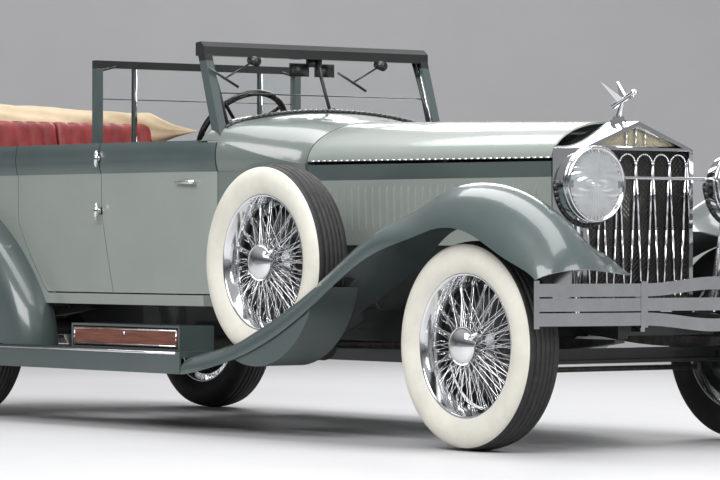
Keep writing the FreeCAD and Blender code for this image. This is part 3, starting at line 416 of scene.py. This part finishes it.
def add_wire_wheel(name, centre, sign, body, drum=True):
    """Rim with its well, laced spokes in three rows, hub shell, brake drum and winged hub nut."""
    x, y, z = centre
    shape = Shape()
    lip = [(RIM_R + 0.002, 0.064), (RIM_R + 0.001, 0.070), (RIM_R - 0.006, 0.072), (RIM_R - 0.012, 0.066),
           (RIM_R - 0.014, 0.050), (RIM_R - 0.034, 0.030), (RIM_R - 0.036, -0.030), (RIM_R - 0.014, -0.050),
           (RIM_R - 0.012, -0.066), (RIM_R - 0.006, -0.072), (RIM_R + 0.002, -0.064), (RIM_R - 0.008, -0.040),
           (RIM_R - 0.026, -0.020), (RIM_R - 0.026, 0.020), (RIM_R - 0.008, 0.040)]
    shape.turned([(r, sign * t) for r, t in lip], centre, steps=96)
    hub = [(0.040, 0.078), (0.056, 0.074), (0.058, 0.058), (0.046, 0.050), (0.044, -0.010), (0.066, -0.024),
           (0.068, -0.040), (0.030, -0.044), (0.024, 0.060)]
    shape.turned([(r, sign * t) for r, t in hub], centre, steps=48)
    count = 20
    rows = ((0.052, 0.066, 0.026, 0.34), (0.050, 0.052, 0.004, 0.30), (0.064, -0.030, -0.020, 0.26))
    for row, (hub_r, hub_y, rim_y, lean) in enumerate(rows):
        for k in range(count):
            a = 2 * math.pi * (k + row / 3.0) / count
            for turn in (-1, 1):
                b = a + turn * lean
                start = (x + hub_r * math.cos(a), y + sign * hub_y, z + hub_r * math.sin(a))
                rim_r = RIM_R - 0.033
                end = (x + rim_r * math.cos(b), y + sign * rim_y, z + rim_r * math.sin(b))
                shape.rod(start, end, 0.0016, sides=5, caps=False)
                tip = Vector(end) + (Vector(start) - Vector(end)).normalized() * 0.016
                shape.rod(end, tip, 0.0028, sides=6)
    cap = [(0.0, 0.118), (0.025, 0.116), (0.050, 0.109), (0.068, 0.098), (0.077, 0.086), (0.078, 0.078),
           (0.0, 0.074)]
    shape.turned([(r, sign * t) for r, t in cap], centre, steps=48, closed=False)
    for k in range(2):
        a = math.pi * k + 0.5
        c, s = math.cos(a), math.sin(a)
        root = Vector((x + 0.030 * c, y + sign * 0.088, z + 0.030 * s))
        tip = Vector((x + 0.104 * c, y + sign * 0.082, z + 0.104 * s))
        shape.rod(root, tip, 0.024, 0.006, sides=12)
    wheel = shape.piece(name, [CHROME], body, slot="chrome")
    # A black disc behind the spokes, out past the drum: partly the brake's backing plate, partly painted
    # shade inside the wheel. The spare wheels have no brake, so on them it is painted shade only.
    backing_and_shade_disc = Shape()
    backing_shade_outline = [(0.075, -0.046), (0.246, -0.050), (0.246, -0.053), (0.075, -0.049)]
    backing_and_shade_disc.turned([(r, sign * t) for r, t in backing_shade_outline], centre, steps=64)
    backing_and_shade_disc.piece(name + "_backing_and_shade", [BLACK], body, slot="black_enamel")
    if drum:
        drum_shape = Shape()
        outline = [(0.030, -0.038), (0.192, -0.038), (0.195, -0.042), (0.195, -0.060), (0.190, -0.062),
                   (0.030, -0.062)]
        drum_shape.turned([(r, sign * t) for r, t in outline], centre, steps=72)
        drum_shape.piece(name + "_drum", [BLACK], body, slot="black_enamel")
    return wheel


def centre_of(node):
    low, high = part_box(node)
    return (low + high) / 2


for word, sign in SIDES:
    for end in ("front", "rear"):
        spot = centre_of("tyre_%s_%s" % (end, word))
        body = "wheel_%s_%s" % (end, word)
        wheel = add_wire_wheel("wire_wheel_%s_%s" % (end, word), spot, sign, body)
        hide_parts(body)
        tyre = add_tyre("road_tyre_%s_%s" % (end, word), spot, sign, body)
        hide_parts("tyre_%s_%s" % (end, word))


SPARE_LOW, SPARE_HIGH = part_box("spare_tyres")
for word, sign in SIDES:
    spot = (SPARE_LOW + SPARE_HIGH) / 2
    spot.y = sign * (SPARE_HIGH.y - TYRE_W / 2)
    wheel = add_wire_wheel("spare_wire_wheel_" + word, spot, sign, "root", drum=False)
    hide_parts("spare_wheels")
    tyre = add_tyre("spare_tyre_" + word, spot, sign, "root")
    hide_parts("spare_tyres")


# ---------------------------------------------------------------- radiator grille
GRILLE_X = 2.266
GRILLE_HALF_W = 0.271
GRILLE_LOW, GRILLE_TOP = 0.582, 1.178
PEDIMENT_LOW, PEDIMENT_PEAK = 1.194, 1.276


def clipped(a, b, corners):
    """The part of segment a-b inside a convex polygon given anticlockwise, or None."""
    start, end = 0.0, 1.0
    ax, ay = a
    dx, dy = b[0] - ax, b[1] - ay
    for k, (x0, y0) in enumerate(corners):
        x1, y1 = corners[(k + 1) % len(corners)]
        ex, ey = x1 - x0, y1 - y0
        over = ex * (ay - y0) - ey * (ax - x0)
        rate = ex * dy - ey * dx
        if abs(rate) < 1e-12:
            if over < 0:
                return None
            continue
        at = -over / rate
        if rate > 0:
            start = max(start, at)
        else:
            end = min(end, at)
    if end - start < 1e-4:
        return None
    return [(ax + t * dx, ay + t * dy) for t in (start, end)]


def lattice(shape, corners, pitch, r, mark):
    """Diamond mesh over a convex panel in the YZ plane."""
    ys, zs = [c[0] for c in corners], [c[1] for c in corners]
    y0, y1, z0, z1 = min(ys), max(ys), min(zs), max(zs)
    height = z1 - z0
    count = int((y1 - y0 + height) / pitch)
    for k in range(count + 1):
        for lean in (1, -1):
            foot = y0 - height + k * pitch if lean > 0 else y0 + k * pitch
            cut = clipped((foot, z0), (foot + lean * height, z1), corners)
            if cut:
                (ya, za), (yb, zb) = cut
                shape.rod((GRILLE_X, ya, za), (GRILLE_X, yb, zb), r, sides=4, mark=mark, caps=False)


def add_grille():
    shape = Shape()
    w = GRILLE_HALF_W
    shape.block((GRILLE_X - 0.004, -w, GRILLE_LOW), (GRILLE_X - 0.003, w, GRILLE_TOP + 0.01), mark=0)
    lattice(shape, [(-w, GRILLE_LOW), (w, GRILLE_LOW), (w, GRILLE_TOP), (-w, GRILLE_TOP)], 0.022, 0.0014, 2)
    arches = 6
    step = 2 * w / arches
    for k in range(arches):
        middle = -w + step * (k + 0.5)
        top_r = step * 0.47
        spring = GRILLE_TOP - top_r - 0.012
        arc = [(GRILLE_X + 0.008, middle + top_r * math.cos(math.pi * j / 12),
                spring + top_r * math.sin(math.pi * j / 12)) for j in range(13)]
        shape.path(arc, 0.0042, mark=1)
        for side in (-1, 1):
            top = (GRILLE_X + 0.008, middle + side * top_r, spring)
            low = (GRILLE_X + 0.008, middle + side * top_r * 0.35, GRILLE_LOW + 0.02)
            mid = tuple((p + q) / 2 for p, q in zip(top, low))
            shape.rod(top, mid, 0.0036, 0.0062, mark=1)
            shape.rod(mid, low, 0.0062, 0.0036, mark=1)
    roof = [(-w * 0.92, PEDIMENT_LOW), (w * 0.92, PEDIMENT_LOW), (0.0, PEDIMENT_PEAK)]
    lattice(shape, roof, 0.016, 0.0012, 3)
    for y in (-0.05, 0.0, 0.05):
        top = PEDIMENT_PEAK - (PEDIMENT_PEAK - PEDIMENT_LOW) * abs(y) / (w * 0.92)
        shape.rod((GRILLE_X + 0.008, y, PEDIMENT_LOW), (GRILLE_X + 0.008, y, top), 0.004, mark=1)
    for (ya, za), (yb, zb) in zip(roof, roof[1:] + roof[:1]):
        shape.rod((GRILLE_X + 0.01, ya, za), (GRILLE_X + 0.01, yb, zb), 0.005, mark=1)
    shape.piece("radiator_grille", [BLACK, CHROME, STEEL, CREAM], slot="chrome")
    back = Shape()
    back.add([(GRILLE_X - 0.003, y, z) for y, z in roof], [(0, 1, 2)])
    back.piece("radiator_pediment", [CREAM], slot="chrome")


# ---------------------------------------------------------------- lamps
LAMP = Vector((2.490, 0.394, 1.040))
LAMP_R = 0.147


def add_headlamp(word, sign):
    x, y, z = LAMP.x, sign * LAMP.y, LAMP.z
    lens = Shape()
    rings, steps = 14, 120
    verts = [(x - 0.001, y, z)]
    for i in range(1, rings + 1):
        r = (LAMP_R - 0.012) * i / rings
        for k in range(steps):
            a = 2 * math.pi * k / steps
            across = r * math.cos(a)
            dome = 0.004 * (1 - (i / rings) ** 2)
            verts.append((x - 0.006 + dome + 0.0012 * math.cos(2 * math.pi * across / 0.011), y + across,
                          z + r * math.sin(a)))
    faces = [(0, 1 + k, 1 + (k + 1) % steps) for k in range(steps)]
    for i in range(rings - 1):
        a, b = 1 + i * steps, 1 + (i + 1) * steps
        faces += [(a + k, b + k, b + (k + 1) % steps, a + (k + 1) % steps) for k in range(steps)]
    lens.add(verts, faces)
    lens.piece("headlamp_lens_" + word, [LENS], slot="glass")
    trim = Shape()
    rim = [(LAMP_R - 0.005 + 0.007 * math.cos(2 * math.pi * k / 10), 0.007 * math.sin(2 * math.pi * k / 10))
           for k in range(10)]
    trim.turned(rim, (x - 0.002, y, z), axis="x", steps=72, mark=0)
    band = [(0.001, -0.034), (0.003, -0.030), (0.003, -0.020), (0.001, -0.016)]
    trim.turned([(LAMP_R + r, t) for r, t in band], (x, y, z), axis="x", steps=72, mark=0)
    yoke_r, yoke_x = LAMP_R + 0.014, x - 0.060
    turns = [math.pi + math.pi * k / 20 for k in range(21)]
    trim.path([(yoke_x, y + yoke_r * math.cos(a), z + yoke_r * math.sin(a)) for a in turns], 0.010, mark=1)
    for side in (-1, 1):
        pin = [(yoke_x, y + side * r, z) for r in (yoke_r, yoke_r - 0.022)]
        trim.rod(*pin, 0.014, sides=12, mark=1)
    trim.piece("headlamp_trim_" + word, [CHROME, BLACK], slot="chrome")


# ---------------------------------------------------------------- screens
SCREEN_FOOT, SCREEN_HEAD = Vector((0.262, 0, 1.262)), Vector((0.131, 0, 1.622))


def cowl_line(y):
    """Height of the cowl's top under the windscreen."""
    return 1.2464 + 0.1376 * math.sqrt(max(0.0, 1 - (y / 0.636) ** 2))


def add_windscreen():
    trim = Shape()
    half = 0.574
    for side in (-1, 1):
        aside = Vector((0.014, side * half, 0))
        trim.rod(SCREEN_FOOT + aside, SCREEN_HEAD + aside, 0.0045, mark=0)
        for post in (0.24, 0.62):
            spot = SCREEN_FOOT.lerp(SCREEN_HEAD, post) + Vector((0.016, side * (half + 0.02), 0))
            trim.rod(spot, spot + Vector((0.008, 0, 0.002)), 0.006, mark=0)
    seal = [(0.268, y, cowl_line(y) + 0.004) for y in [-0.58 + 1.16 * k / 40 for k in range(41)]]
    trim.path(seal, 0.011, mark=1)
    split = SCREEN_FOOT.lerp(SCREEN_HEAD, 0.55)
    trim.rod(split + Vector((0.004, -half, 0)), split + Vector((0.004, half, 0)), 0.003, mark=1)
    for y in (-half + 0.012, half - 0.012):
        trim.rod(SCREEN_FOOT + Vector((-0.004, y, 0.06)), SCREEN_HEAD + Vector((-0.004, y, 0)), 0.007, mark=1)
    foot = Vector((0.222, 0.02, cowl_line(0) + 0.006))
    head = Vector((0.118, 0.02, 1.624))
    trim.rod(foot, head, 0.008, mark=1)
    trim.rod(foot + Vector((-0.03, 0, -0.002)), foot + Vector((0.03, 0, 0.002)), 0.014, mark=1)
    for y in (-0.055, 0.085):
        trim.block((0.086, y - 0.052, 1.548), (0.096, y + 0.052, 1.606), mark=1)
    trim.block((0.094, -0.02, 1.590), (0.12, 0.05, 1.626), mark=1)
    for y in (-0.36, 0.34):
        trim.rod((0.150, y, 1.612), (0.196, y, 1.600), 0.022, sides=16, mark=1)
        trim.rod((0.176, y, 1.606), (0.212, y - 0.19, 1.520), 0.0045, mark=1)
        trim.rod((0.200, y - 0.26, 1.565), (0.222, y - 0.12, 1.486), 0.006, mark=1)
    trim.piece("windscreen_trim", [CHROME, BLACK], slot="chrome")


def add_divider():
    x = DIVIDER_X
    trim = Shape()
    inner_y, outer_y = DIVIDER_POSTS
    for y in (-outer_y, -inner_y, inner_y, outer_y):
        for dx in (-0.016, 0.018):
            trim.rod((x + dx, y, 1.256), (x + dx, y, 1.600), 0.004, mark=0)
    trim.rod((x, -0.54, 1.462), (x, 0.54, 1.462), 0.002, mark=1)
    for side in (-1, 1):
        trim.rod((x + 0.02, side * 0.55, 1.59), (x + 0.02, side * 0.47, 1.61), 0.006, mark=1)
        trim.rod((x, side * inner_y, 1.27), (x + 0.06, side * inner_y, 1.256), 0.007, mark=0)
    trim.piece("divider_trim", [CHROME, BLACK], slot="chrome")


# ---------------------------------------------------------------- hood and doors
HOOD_REAR, HOOD_FRONT = 0.596, 2.091


def hood_side_y(x, z):
    """Outer face of the hood's side, from its shoulder to its bottom."""
    along = (x - HOOD_REAR) / (HOOD_FRONT - HOOD_REAR)
    low = 0.376 + (0.284 - 0.376) * along
    high = 0.384 + (0.287 - 0.384) * along
    return low + (high - low) * (z - 0.800) / 0.350


def add_hood_trim(word, sign):
    louvres = Shape()
    count = 30
    for k in range(count):
        x = 0.70 + 1.30 * k / (count - 1)
        z0, z1 = 0.850, 1.052
        rows = [(z0, 0.0), (z0 + 0.02, 0.8), (z0 + 0.04, 1.0), (z1 - 0.04, 1.0), (z1 - 0.02, 0.8), (z1, 0.0)]
        verts = []  # back edge, raised lip and front edge of the louvre at each height
        for z, share in rows:
            y = hood_side_y(x, z)
            verts += [(x - 0.013, sign * (y - 0.001), z), (x + 0.006, sign * (y + 0.009 * share), z),
                      (x + 0.008, sign * (y - 0.001), z)]
        faces = []
        for r in range(len(rows) - 1):
            for c in range(2):
                a = 3 * r + c
                faces.append((a, a + 1, a + 4, a + 3))
        louvres.add(verts, faces)
    louvres.piece("hood_louvres_" + word, [BODY], "hood_side_" + word, slot="body_paint")
    bead = Shape()
    steps = 40
    stations = [HOOD_REAR + 0.01 + (HOOD_FRONT - HOOD_REAR - 0.02) * k / steps for k in range(steps + 1)]
    line = [(x, sign * hood_side_y(x, 1.15), 1.158 - 0.006 * (x - HOOD_REAR) / 1.5) for x in stations]
    bead.path(line, 0.0032)
    bead.piece("hood_hinge_" + word, [CHROME], "hood_top_" + word, slot="chrome")


def add_door_trim(word, sign):
    handle = Shape()
    x, y, z = HANDLE_X, HANDLE_Y, HANDLE_Z
    handle.rod((x, sign * y, z), (x, sign * (y + 0.032), z), 0.010, sides=16)
    handle.rod((x, sign * (y + 0.006), z), (x, sign * (y + 0.012), z), 0.022, sides=24)
    root, tip = (x + 0.020, sign * (y + 0.034), z), (x - 0.105, sign * (y + 0.046), z - 0.001)
    handle.rod(root, tip, 0.010, 0.005, sides=12)
    handle.piece("door_handle_" + word, [CHROME], "front_door_" + word, slot="chrome")
    hinge = Shape()
    x, y = HINGE_X, sign * HINGE_Y
    for z in HINGE_HEIGHTS:
        hinge.rod((x, y, z - 0.030), (x, y, z + 0.030), 0.0104, sides=20)
        inner, outer = sorted((y - sign * 0.050, y))
        hinge.block((x - 0.0015, inner, z - 0.0105), (x + 0.0015, outer, z + 0.0105))
        hinge.rod((x, y, z + 0.029), (x, y, z + 0.036), 0.0075, sides=16)
        hinge.rod((x, y, z - 0.036), (x, y, z - 0.029), 0.0075, sides=16)
    hinge.piece("door_hinges_" + word, [CHROME], slot="chrome")


# ---------------------------------------------------------------- boards, toolboxes and lamps
def add_board_trim(word, sign):
    trim = Shape()
    y, z = sign * BOARD_EDGE_Y, BOARD_TOP - 0.006
    trim.rod((-1.13, y, z), (0.33, y, z), 0.006, mark=0)
    for k in range(7):
        inner, outer = sorted((sign * (0.816 + 0.009 * k), sign * (0.820 + 0.009 * k)))
        trim.block((-1.12, inner, BOARD_TOP), (0.28, outer, BOARD_TOP + 0.0035), mark=1)
    trim.piece("running_board_trim_" + word, [CHROME, RUBBER], slot="chrome")
    edge = Shape()
    x0, x1, z0, z1, y = -0.572, 0.222, 0.364, 0.430, sign * 0.807
    loop = [(x0, y, z0), (x1, y, z0), (x1, y, z1), (x0, y, z1), (x0, y, z0)]
    edge.path(loop, 0.0035, mark=0)
    middle = (x0 + x1) / 2
    edge.rod((middle, y, 0.412), (middle, y + sign * 0.006, 0.412), 0.010, sides=20, mark=0)
    edge.piece("toolbox_trim_" + word, [CHROME], "toolbox_flap_" + word, slot="chrome")


# ---------------------------------------------------------------- seats and folded top
def simulate(obj, seams, reach):
    """Inflates a cushion between its sewn channels. seams are the y values that stay down."""
    keep = [v.co.copy() for v in obj.data.vertices]
    group = obj.vertex_groups.new(name="sewn")
    for v in obj.data.vertices:
        if min(abs(v.co.y - y) for y in seams) < 0.006:
            group.add([v.index], 1.0, "REPLACE")
    cloth = obj.modifiers.new("cloth", "CLOTH")
    cloth.settings.use_pressure = True
    cloth.settings.uniform_pressure_force = 4.0
    cloth.settings.vertex_group_mass = "sewn"
    cloth.settings.effector_weights.gravity = 0.0
    scene = bpy.context.scene
    for number in range(1, 21):
        scene.frame_set(number)
    grown = obj.evaluated_get(bpy.context.evaluated_depsgraph_get()).to_mesh()
    moved = [v.co.copy() for v in grown.vertices]
    obj.modifiers.remove(cloth)
    scene.frame_set(1)
    for v, old, new in zip(obj.data.vertices, keep, moved):
        step = new - old
        if step.length > reach:
            step = step.normalized() * reach
        v.co = old + step


def add_cushion(name, outline, half_w, halves, channels, finish):
    """A seat pad: an (x, z) outline swept across the car, with sewn channels in each half."""
    for half in range(halves):
        y0 = -half_w + 2 * half_w * half / halves + (0.004 if half else 0)
        y1 = -half_w + 2 * half_w * (half + 1) / halves - (0.004 if half < halves - 1 else 0)
        shape = Shape()
        count = len(outline)
        verts = [(x, y, z) for y in (y0, y1) for x, z in outline]
        faces = [tuple(range(count))[::-1], tuple(range(count, 2 * count))]
        faces += [(k, (k + 1) % count, count + (k + 1) % count, count + k) for k in range(count)]
        shape.add(verts, faces)
        obj = shape.piece(name + "_%d" % (half + 1), [finish], slot="seat_leather")
        remesh = obj.modifiers.new("remesh", "REMESH")
        remesh.mode = "VOXEL"
        remesh.voxel_size = 0.011
        solid = bpy.data.meshes.new_from_object(obj.evaluated_get(bpy.context.evaluated_depsgraph_get()))
        obj.modifiers.remove(remesh)
        obj.data = solid
        seams = [y0 + (y1 - y0) * k / channels for k in range(channels + 1)]
        pitch = (y1 - y0) / channels
        middle_x = sum(x for x, _ in outline) / count
        middle_z = sum(z for _, z in outline) / count
        for v in solid.vertices:
            swell = abs(math.sin(math.pi * (v.co.y - y0) / pitch)) ** 0.6
            pull = 1.0 - 0.10 * (1.0 - swell)
            v.co.x = middle_x + (v.co.x - middle_x) * pull
            v.co.z = middle_z + (v.co.z - middle_z) * (1.0 - 0.03 * (1.0 - swell))
        simulate(obj, seams, 0.018)
        for face in obj.data.polygons:
            face.use_smooth = True
        yield obj


def rounded(corners, r, steps=4):
    """A polygon's outline with rounded corners."""
    points = []
    count = len(corners)
    for k in range(count):
        before, here, after = (Vector(corners[(k + d) % count]) for d in (-1, 0, 1))
        a = here + (before - here).normalized() * r
        b = here + (after - here).normalized() * r
        for j in range(steps + 1):
            t = j / steps
            points.append(tuple(a * (1 - t) ** 2 + here * 2 * t * (1 - t) + b * t ** 2))
    return points


def add_seats():
    rear_back = rounded([(-1.985, 0.895), (-1.865, 0.895), (-1.965, 1.400), (-2.065, 1.400)], 0.045)
    rear_cushion = rounded([(-1.895, 0.745), (-1.405, 0.745), (-1.405, 0.885), (-1.895, 0.885)], 0.05)
    front_back = rounded([(-0.615, 0.866), (-0.505, 0.866), (-0.625, 1.215), (-0.715, 1.215)], 0.04)
    front_cushion = rounded([(-0.635, 0.705), (-0.125, 0.705), (-0.125, 0.855), (-0.635, 0.855)], 0.05)
    made = list(add_cushion("rear_seat_back", rear_back, 0.556, 2, 7, LEATHER))
    made += list(add_cushion("rear_seat_cushion", rear_cushion, 0.536, 2, 7, LEATHER))
    for obj in made:
        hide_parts("rear_seat")
    made = list(add_cushion("front_seat_back", front_back, 0.556, 2, 7, LEATHER))
    made += list(add_cushion("front_seat_cushion", front_cushion, 0.556, 2, 7, LEATHER))
    for obj in made:
        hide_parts("front_seat")


def add_folded_top():
    """The bundle of cloth and sticks, laid round the back of the body."""
    rows, around = 90, 40
    verts = []
    for i in range(rows + 1):
        t = i / rows
        a = math.pi * (t - 0.5)
        x = -1.62 - 0.62 * math.cos(a) ** 0.35 if abs(t - 0.5) < 0.4999 else -1.62
        y = 0.600 * math.sin(a)
        rise = 0.5 + 0.5 * math.cos(a)
        thick = 0.055 + 0.045 * rise
        wide = 0.045 + 0.085 * rise
        ends = min(1.0, 12 * min(t, 1 - t)) ** 0.5
        for k in range(around):
            b = 2 * math.pi * k / around
            fold = 1.0 + 0.10 * math.sin(3 * b + 9 * t) + 0.05 * math.sin(7 * b - 25 * t)
            r_in, r_up = wide * math.cos(b) * fold * ends, thick * math.sin(b) * fold * ends
            out = Vector((-math.cos(a), math.sin(a), 0)).normalized()
            z = 1.335 + 0.045 * rise + max(r_up, -0.075 - 0.03 * rise)
            verts.append((x + out.x * r_in, y + out.y * r_in * 0.5, max(z, 1.258)))
    faces = [tuple(range(around))[::-1], tuple(rows * around + k for k in range(around))]
    for i in range(rows):
        for k in range(around):
            n = (k + 1) % around
            faces.append((i * around + k, i * around + n, (i + 1) * around + n, (i + 1) * around + k))
    shape = Shape()
    shape.add(verts, faces)
    obj = shape.piece("folded_top_cloth", [CANVAS], slot="top_cloth")
    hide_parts("folded_top")


def add_dials():
    shape = Shape()
    for k, r in enumerate((0.052, 0.034, 0.034, 0.052, 0.034)):
        y = -0.34 + 0.14 * k
        spot = (DASH_X, y, DIAL_Z)
        rim = [(r, 0.0), (r, -0.006), (r - 0.005, -0.007), (r - 0.006, -0.003)]
        shape.turned(rim, spot, axis="x", steps=36)
        shape.turned([(0.0, -0.002), (r - 0.006, -0.002)], spot, axis="x", steps=36, mark=1, closed=False)
    shape.piece("instruments", [CHROME, BLACK], slot="chrome")


add_grille()
add_windscreen()
add_divider()
for word, sign in SIDES:
    add_headlamp(word, sign)
    add_hood_trim(word, sign)
    add_door_trim(word, sign)
    add_board_trim(word, sign)
add_seats()
add_folded_top()
add_dials()


# ---------------------------------------------------------------- stage, light and camera
def studio():
    """Pale seamless floor and wall; the large soft lights are added after it by soft_light."""
    half, depth, rise, bend = 14.0, 9.0, 9.0, 3.0
    profile = [(-12.0, 0.0)]
    for k in range(13):
        a = math.pi / 2 * k / 12
        profile.append((depth + bend * math.sin(a), bend * (1 - math.cos(a))))
    profile.append((depth + bend, rise))
    verts, faces = [], []
    turn = Matrix.Rotation(math.radians(52.5), 3, "Z")
    for d, z in profile:
        for s in (-half, half):
            verts.append(turn @ Vector((s, d, z)))
    for k in range(len(profile) - 1):
        faces.append((2 * k, 2 * k + 1, 2 * k + 3, 2 * k + 2))
    mesh = bpy.data.meshes.new("studio")
    mesh.from_pydata([tuple(v) for v in verts], [], faces)
    for face in mesh.polygons:
        face.use_smooth = True
    mat = plain("studio_floor", (0.52, 0.52, 0.53), (0.56, 0.56, 0.57), 0.6, 0.0, (0.45, 0.55), 0.0)
    mesh.materials.append(mat)
    floor = bpy.data.objects.new("studio", mesh)
    bpy.context.scene.collection.objects.link(floor)


def soft_light(name, where, target, size, power):
    light = bpy.data.lights.new(name, "AREA")
    light.shape = "RECTANGLE"
    light.size, light.size_y = size
    light.energy = power
    obj = bpy.data.objects.new(name, light)
    obj.location = where
    obj.rotation_euler = (Vector(target) - Vector(where)).to_track_quat("-Z", "Y").to_euler()
    bpy.context.scene.collection.objects.link(obj)


CAMERA_AT = Vector((FRONT_AXLE_X + 11.413, -10.0584, 0.8139))
CAMERA_TURN = math.radians(52.4962)
CAMERA_ROLL = math.radians(0.0872)
LENS_MM = 188.98


def camera():
    data = bpy.data.cameras.new("camera")
    data.sensor_width = 36.0
    data.lens = LENS_MM
    obj = bpy.data.objects.new("camera", data)
    away = Matrix.Rotation(CAMERA_TURN, 4, "Z") @ Matrix.Rotation(math.radians(90.03), 4, "X")
    obj.matrix_world = Matrix.Translation(CAMERA_AT) @ away @ Matrix.Rotation(CAMERA_ROLL, 4, "Z")
    bpy.context.scene.collection.objects.link(obj)
    bpy.context.scene.camera = obj


studio()
camera()
soft_light("key", (4.0, -6.5, 6.0), (0.5, 0, 0.6), (7.0, 4.0), 650)
soft_light("top", (0.0, 0.0, 6.5), (0, 0, 0), (9.0, 3.5), 420)
soft_light("front", (8.5, 2.0, 4.0), (1.5, 0, 0.8), (4.0, 4.0), 260)
soft_light("back", (-4.0, 6.0, 5.0), (-0.5, 0, 0.8), (6.0, 3.0), 260)
world = bpy.data.worlds.new("studio_air")
world.use_nodes = True
sky_nodes, sky_links = world.node_tree.nodes, world.node_tree.links
sky_split = sky_nodes.new("ShaderNodeSeparateXYZ")
sky_links.new(sky_nodes.new("ShaderNodeTexCoord").outputs["Generated"], sky_split.inputs["Vector"])
sky_height = sky_nodes.new("ShaderNodeMapRange")
sky_height.inputs["From Min"].default_value = -0.2
sky_links.new(sky_split.outputs["Z"], sky_height.inputs["Value"])
sky_stops = [(0.08, (0.55, 0.55, 0.56)), (0.110, (0.02, 0.02, 0.022)), (0.130, (0.75, 0.76, 0.78)),
             (0.30, (0.14, 0.14, 0.15)), (0.60, (0.95, 0.95, 0.97))]
sky_colour = ramp(sky_nodes, sky_links, sky_height.outputs["Result"], sky_stops)
sky_links.new(sky_colour, world.node_tree.nodes["Background"].inputs["Color"])
world.node_tree.nodes["Background"].inputs["Strength"].default_value = 0.5
bpy.context.scene.world = world
bpy.context.scene.view_settings.view_transform = "Standard"
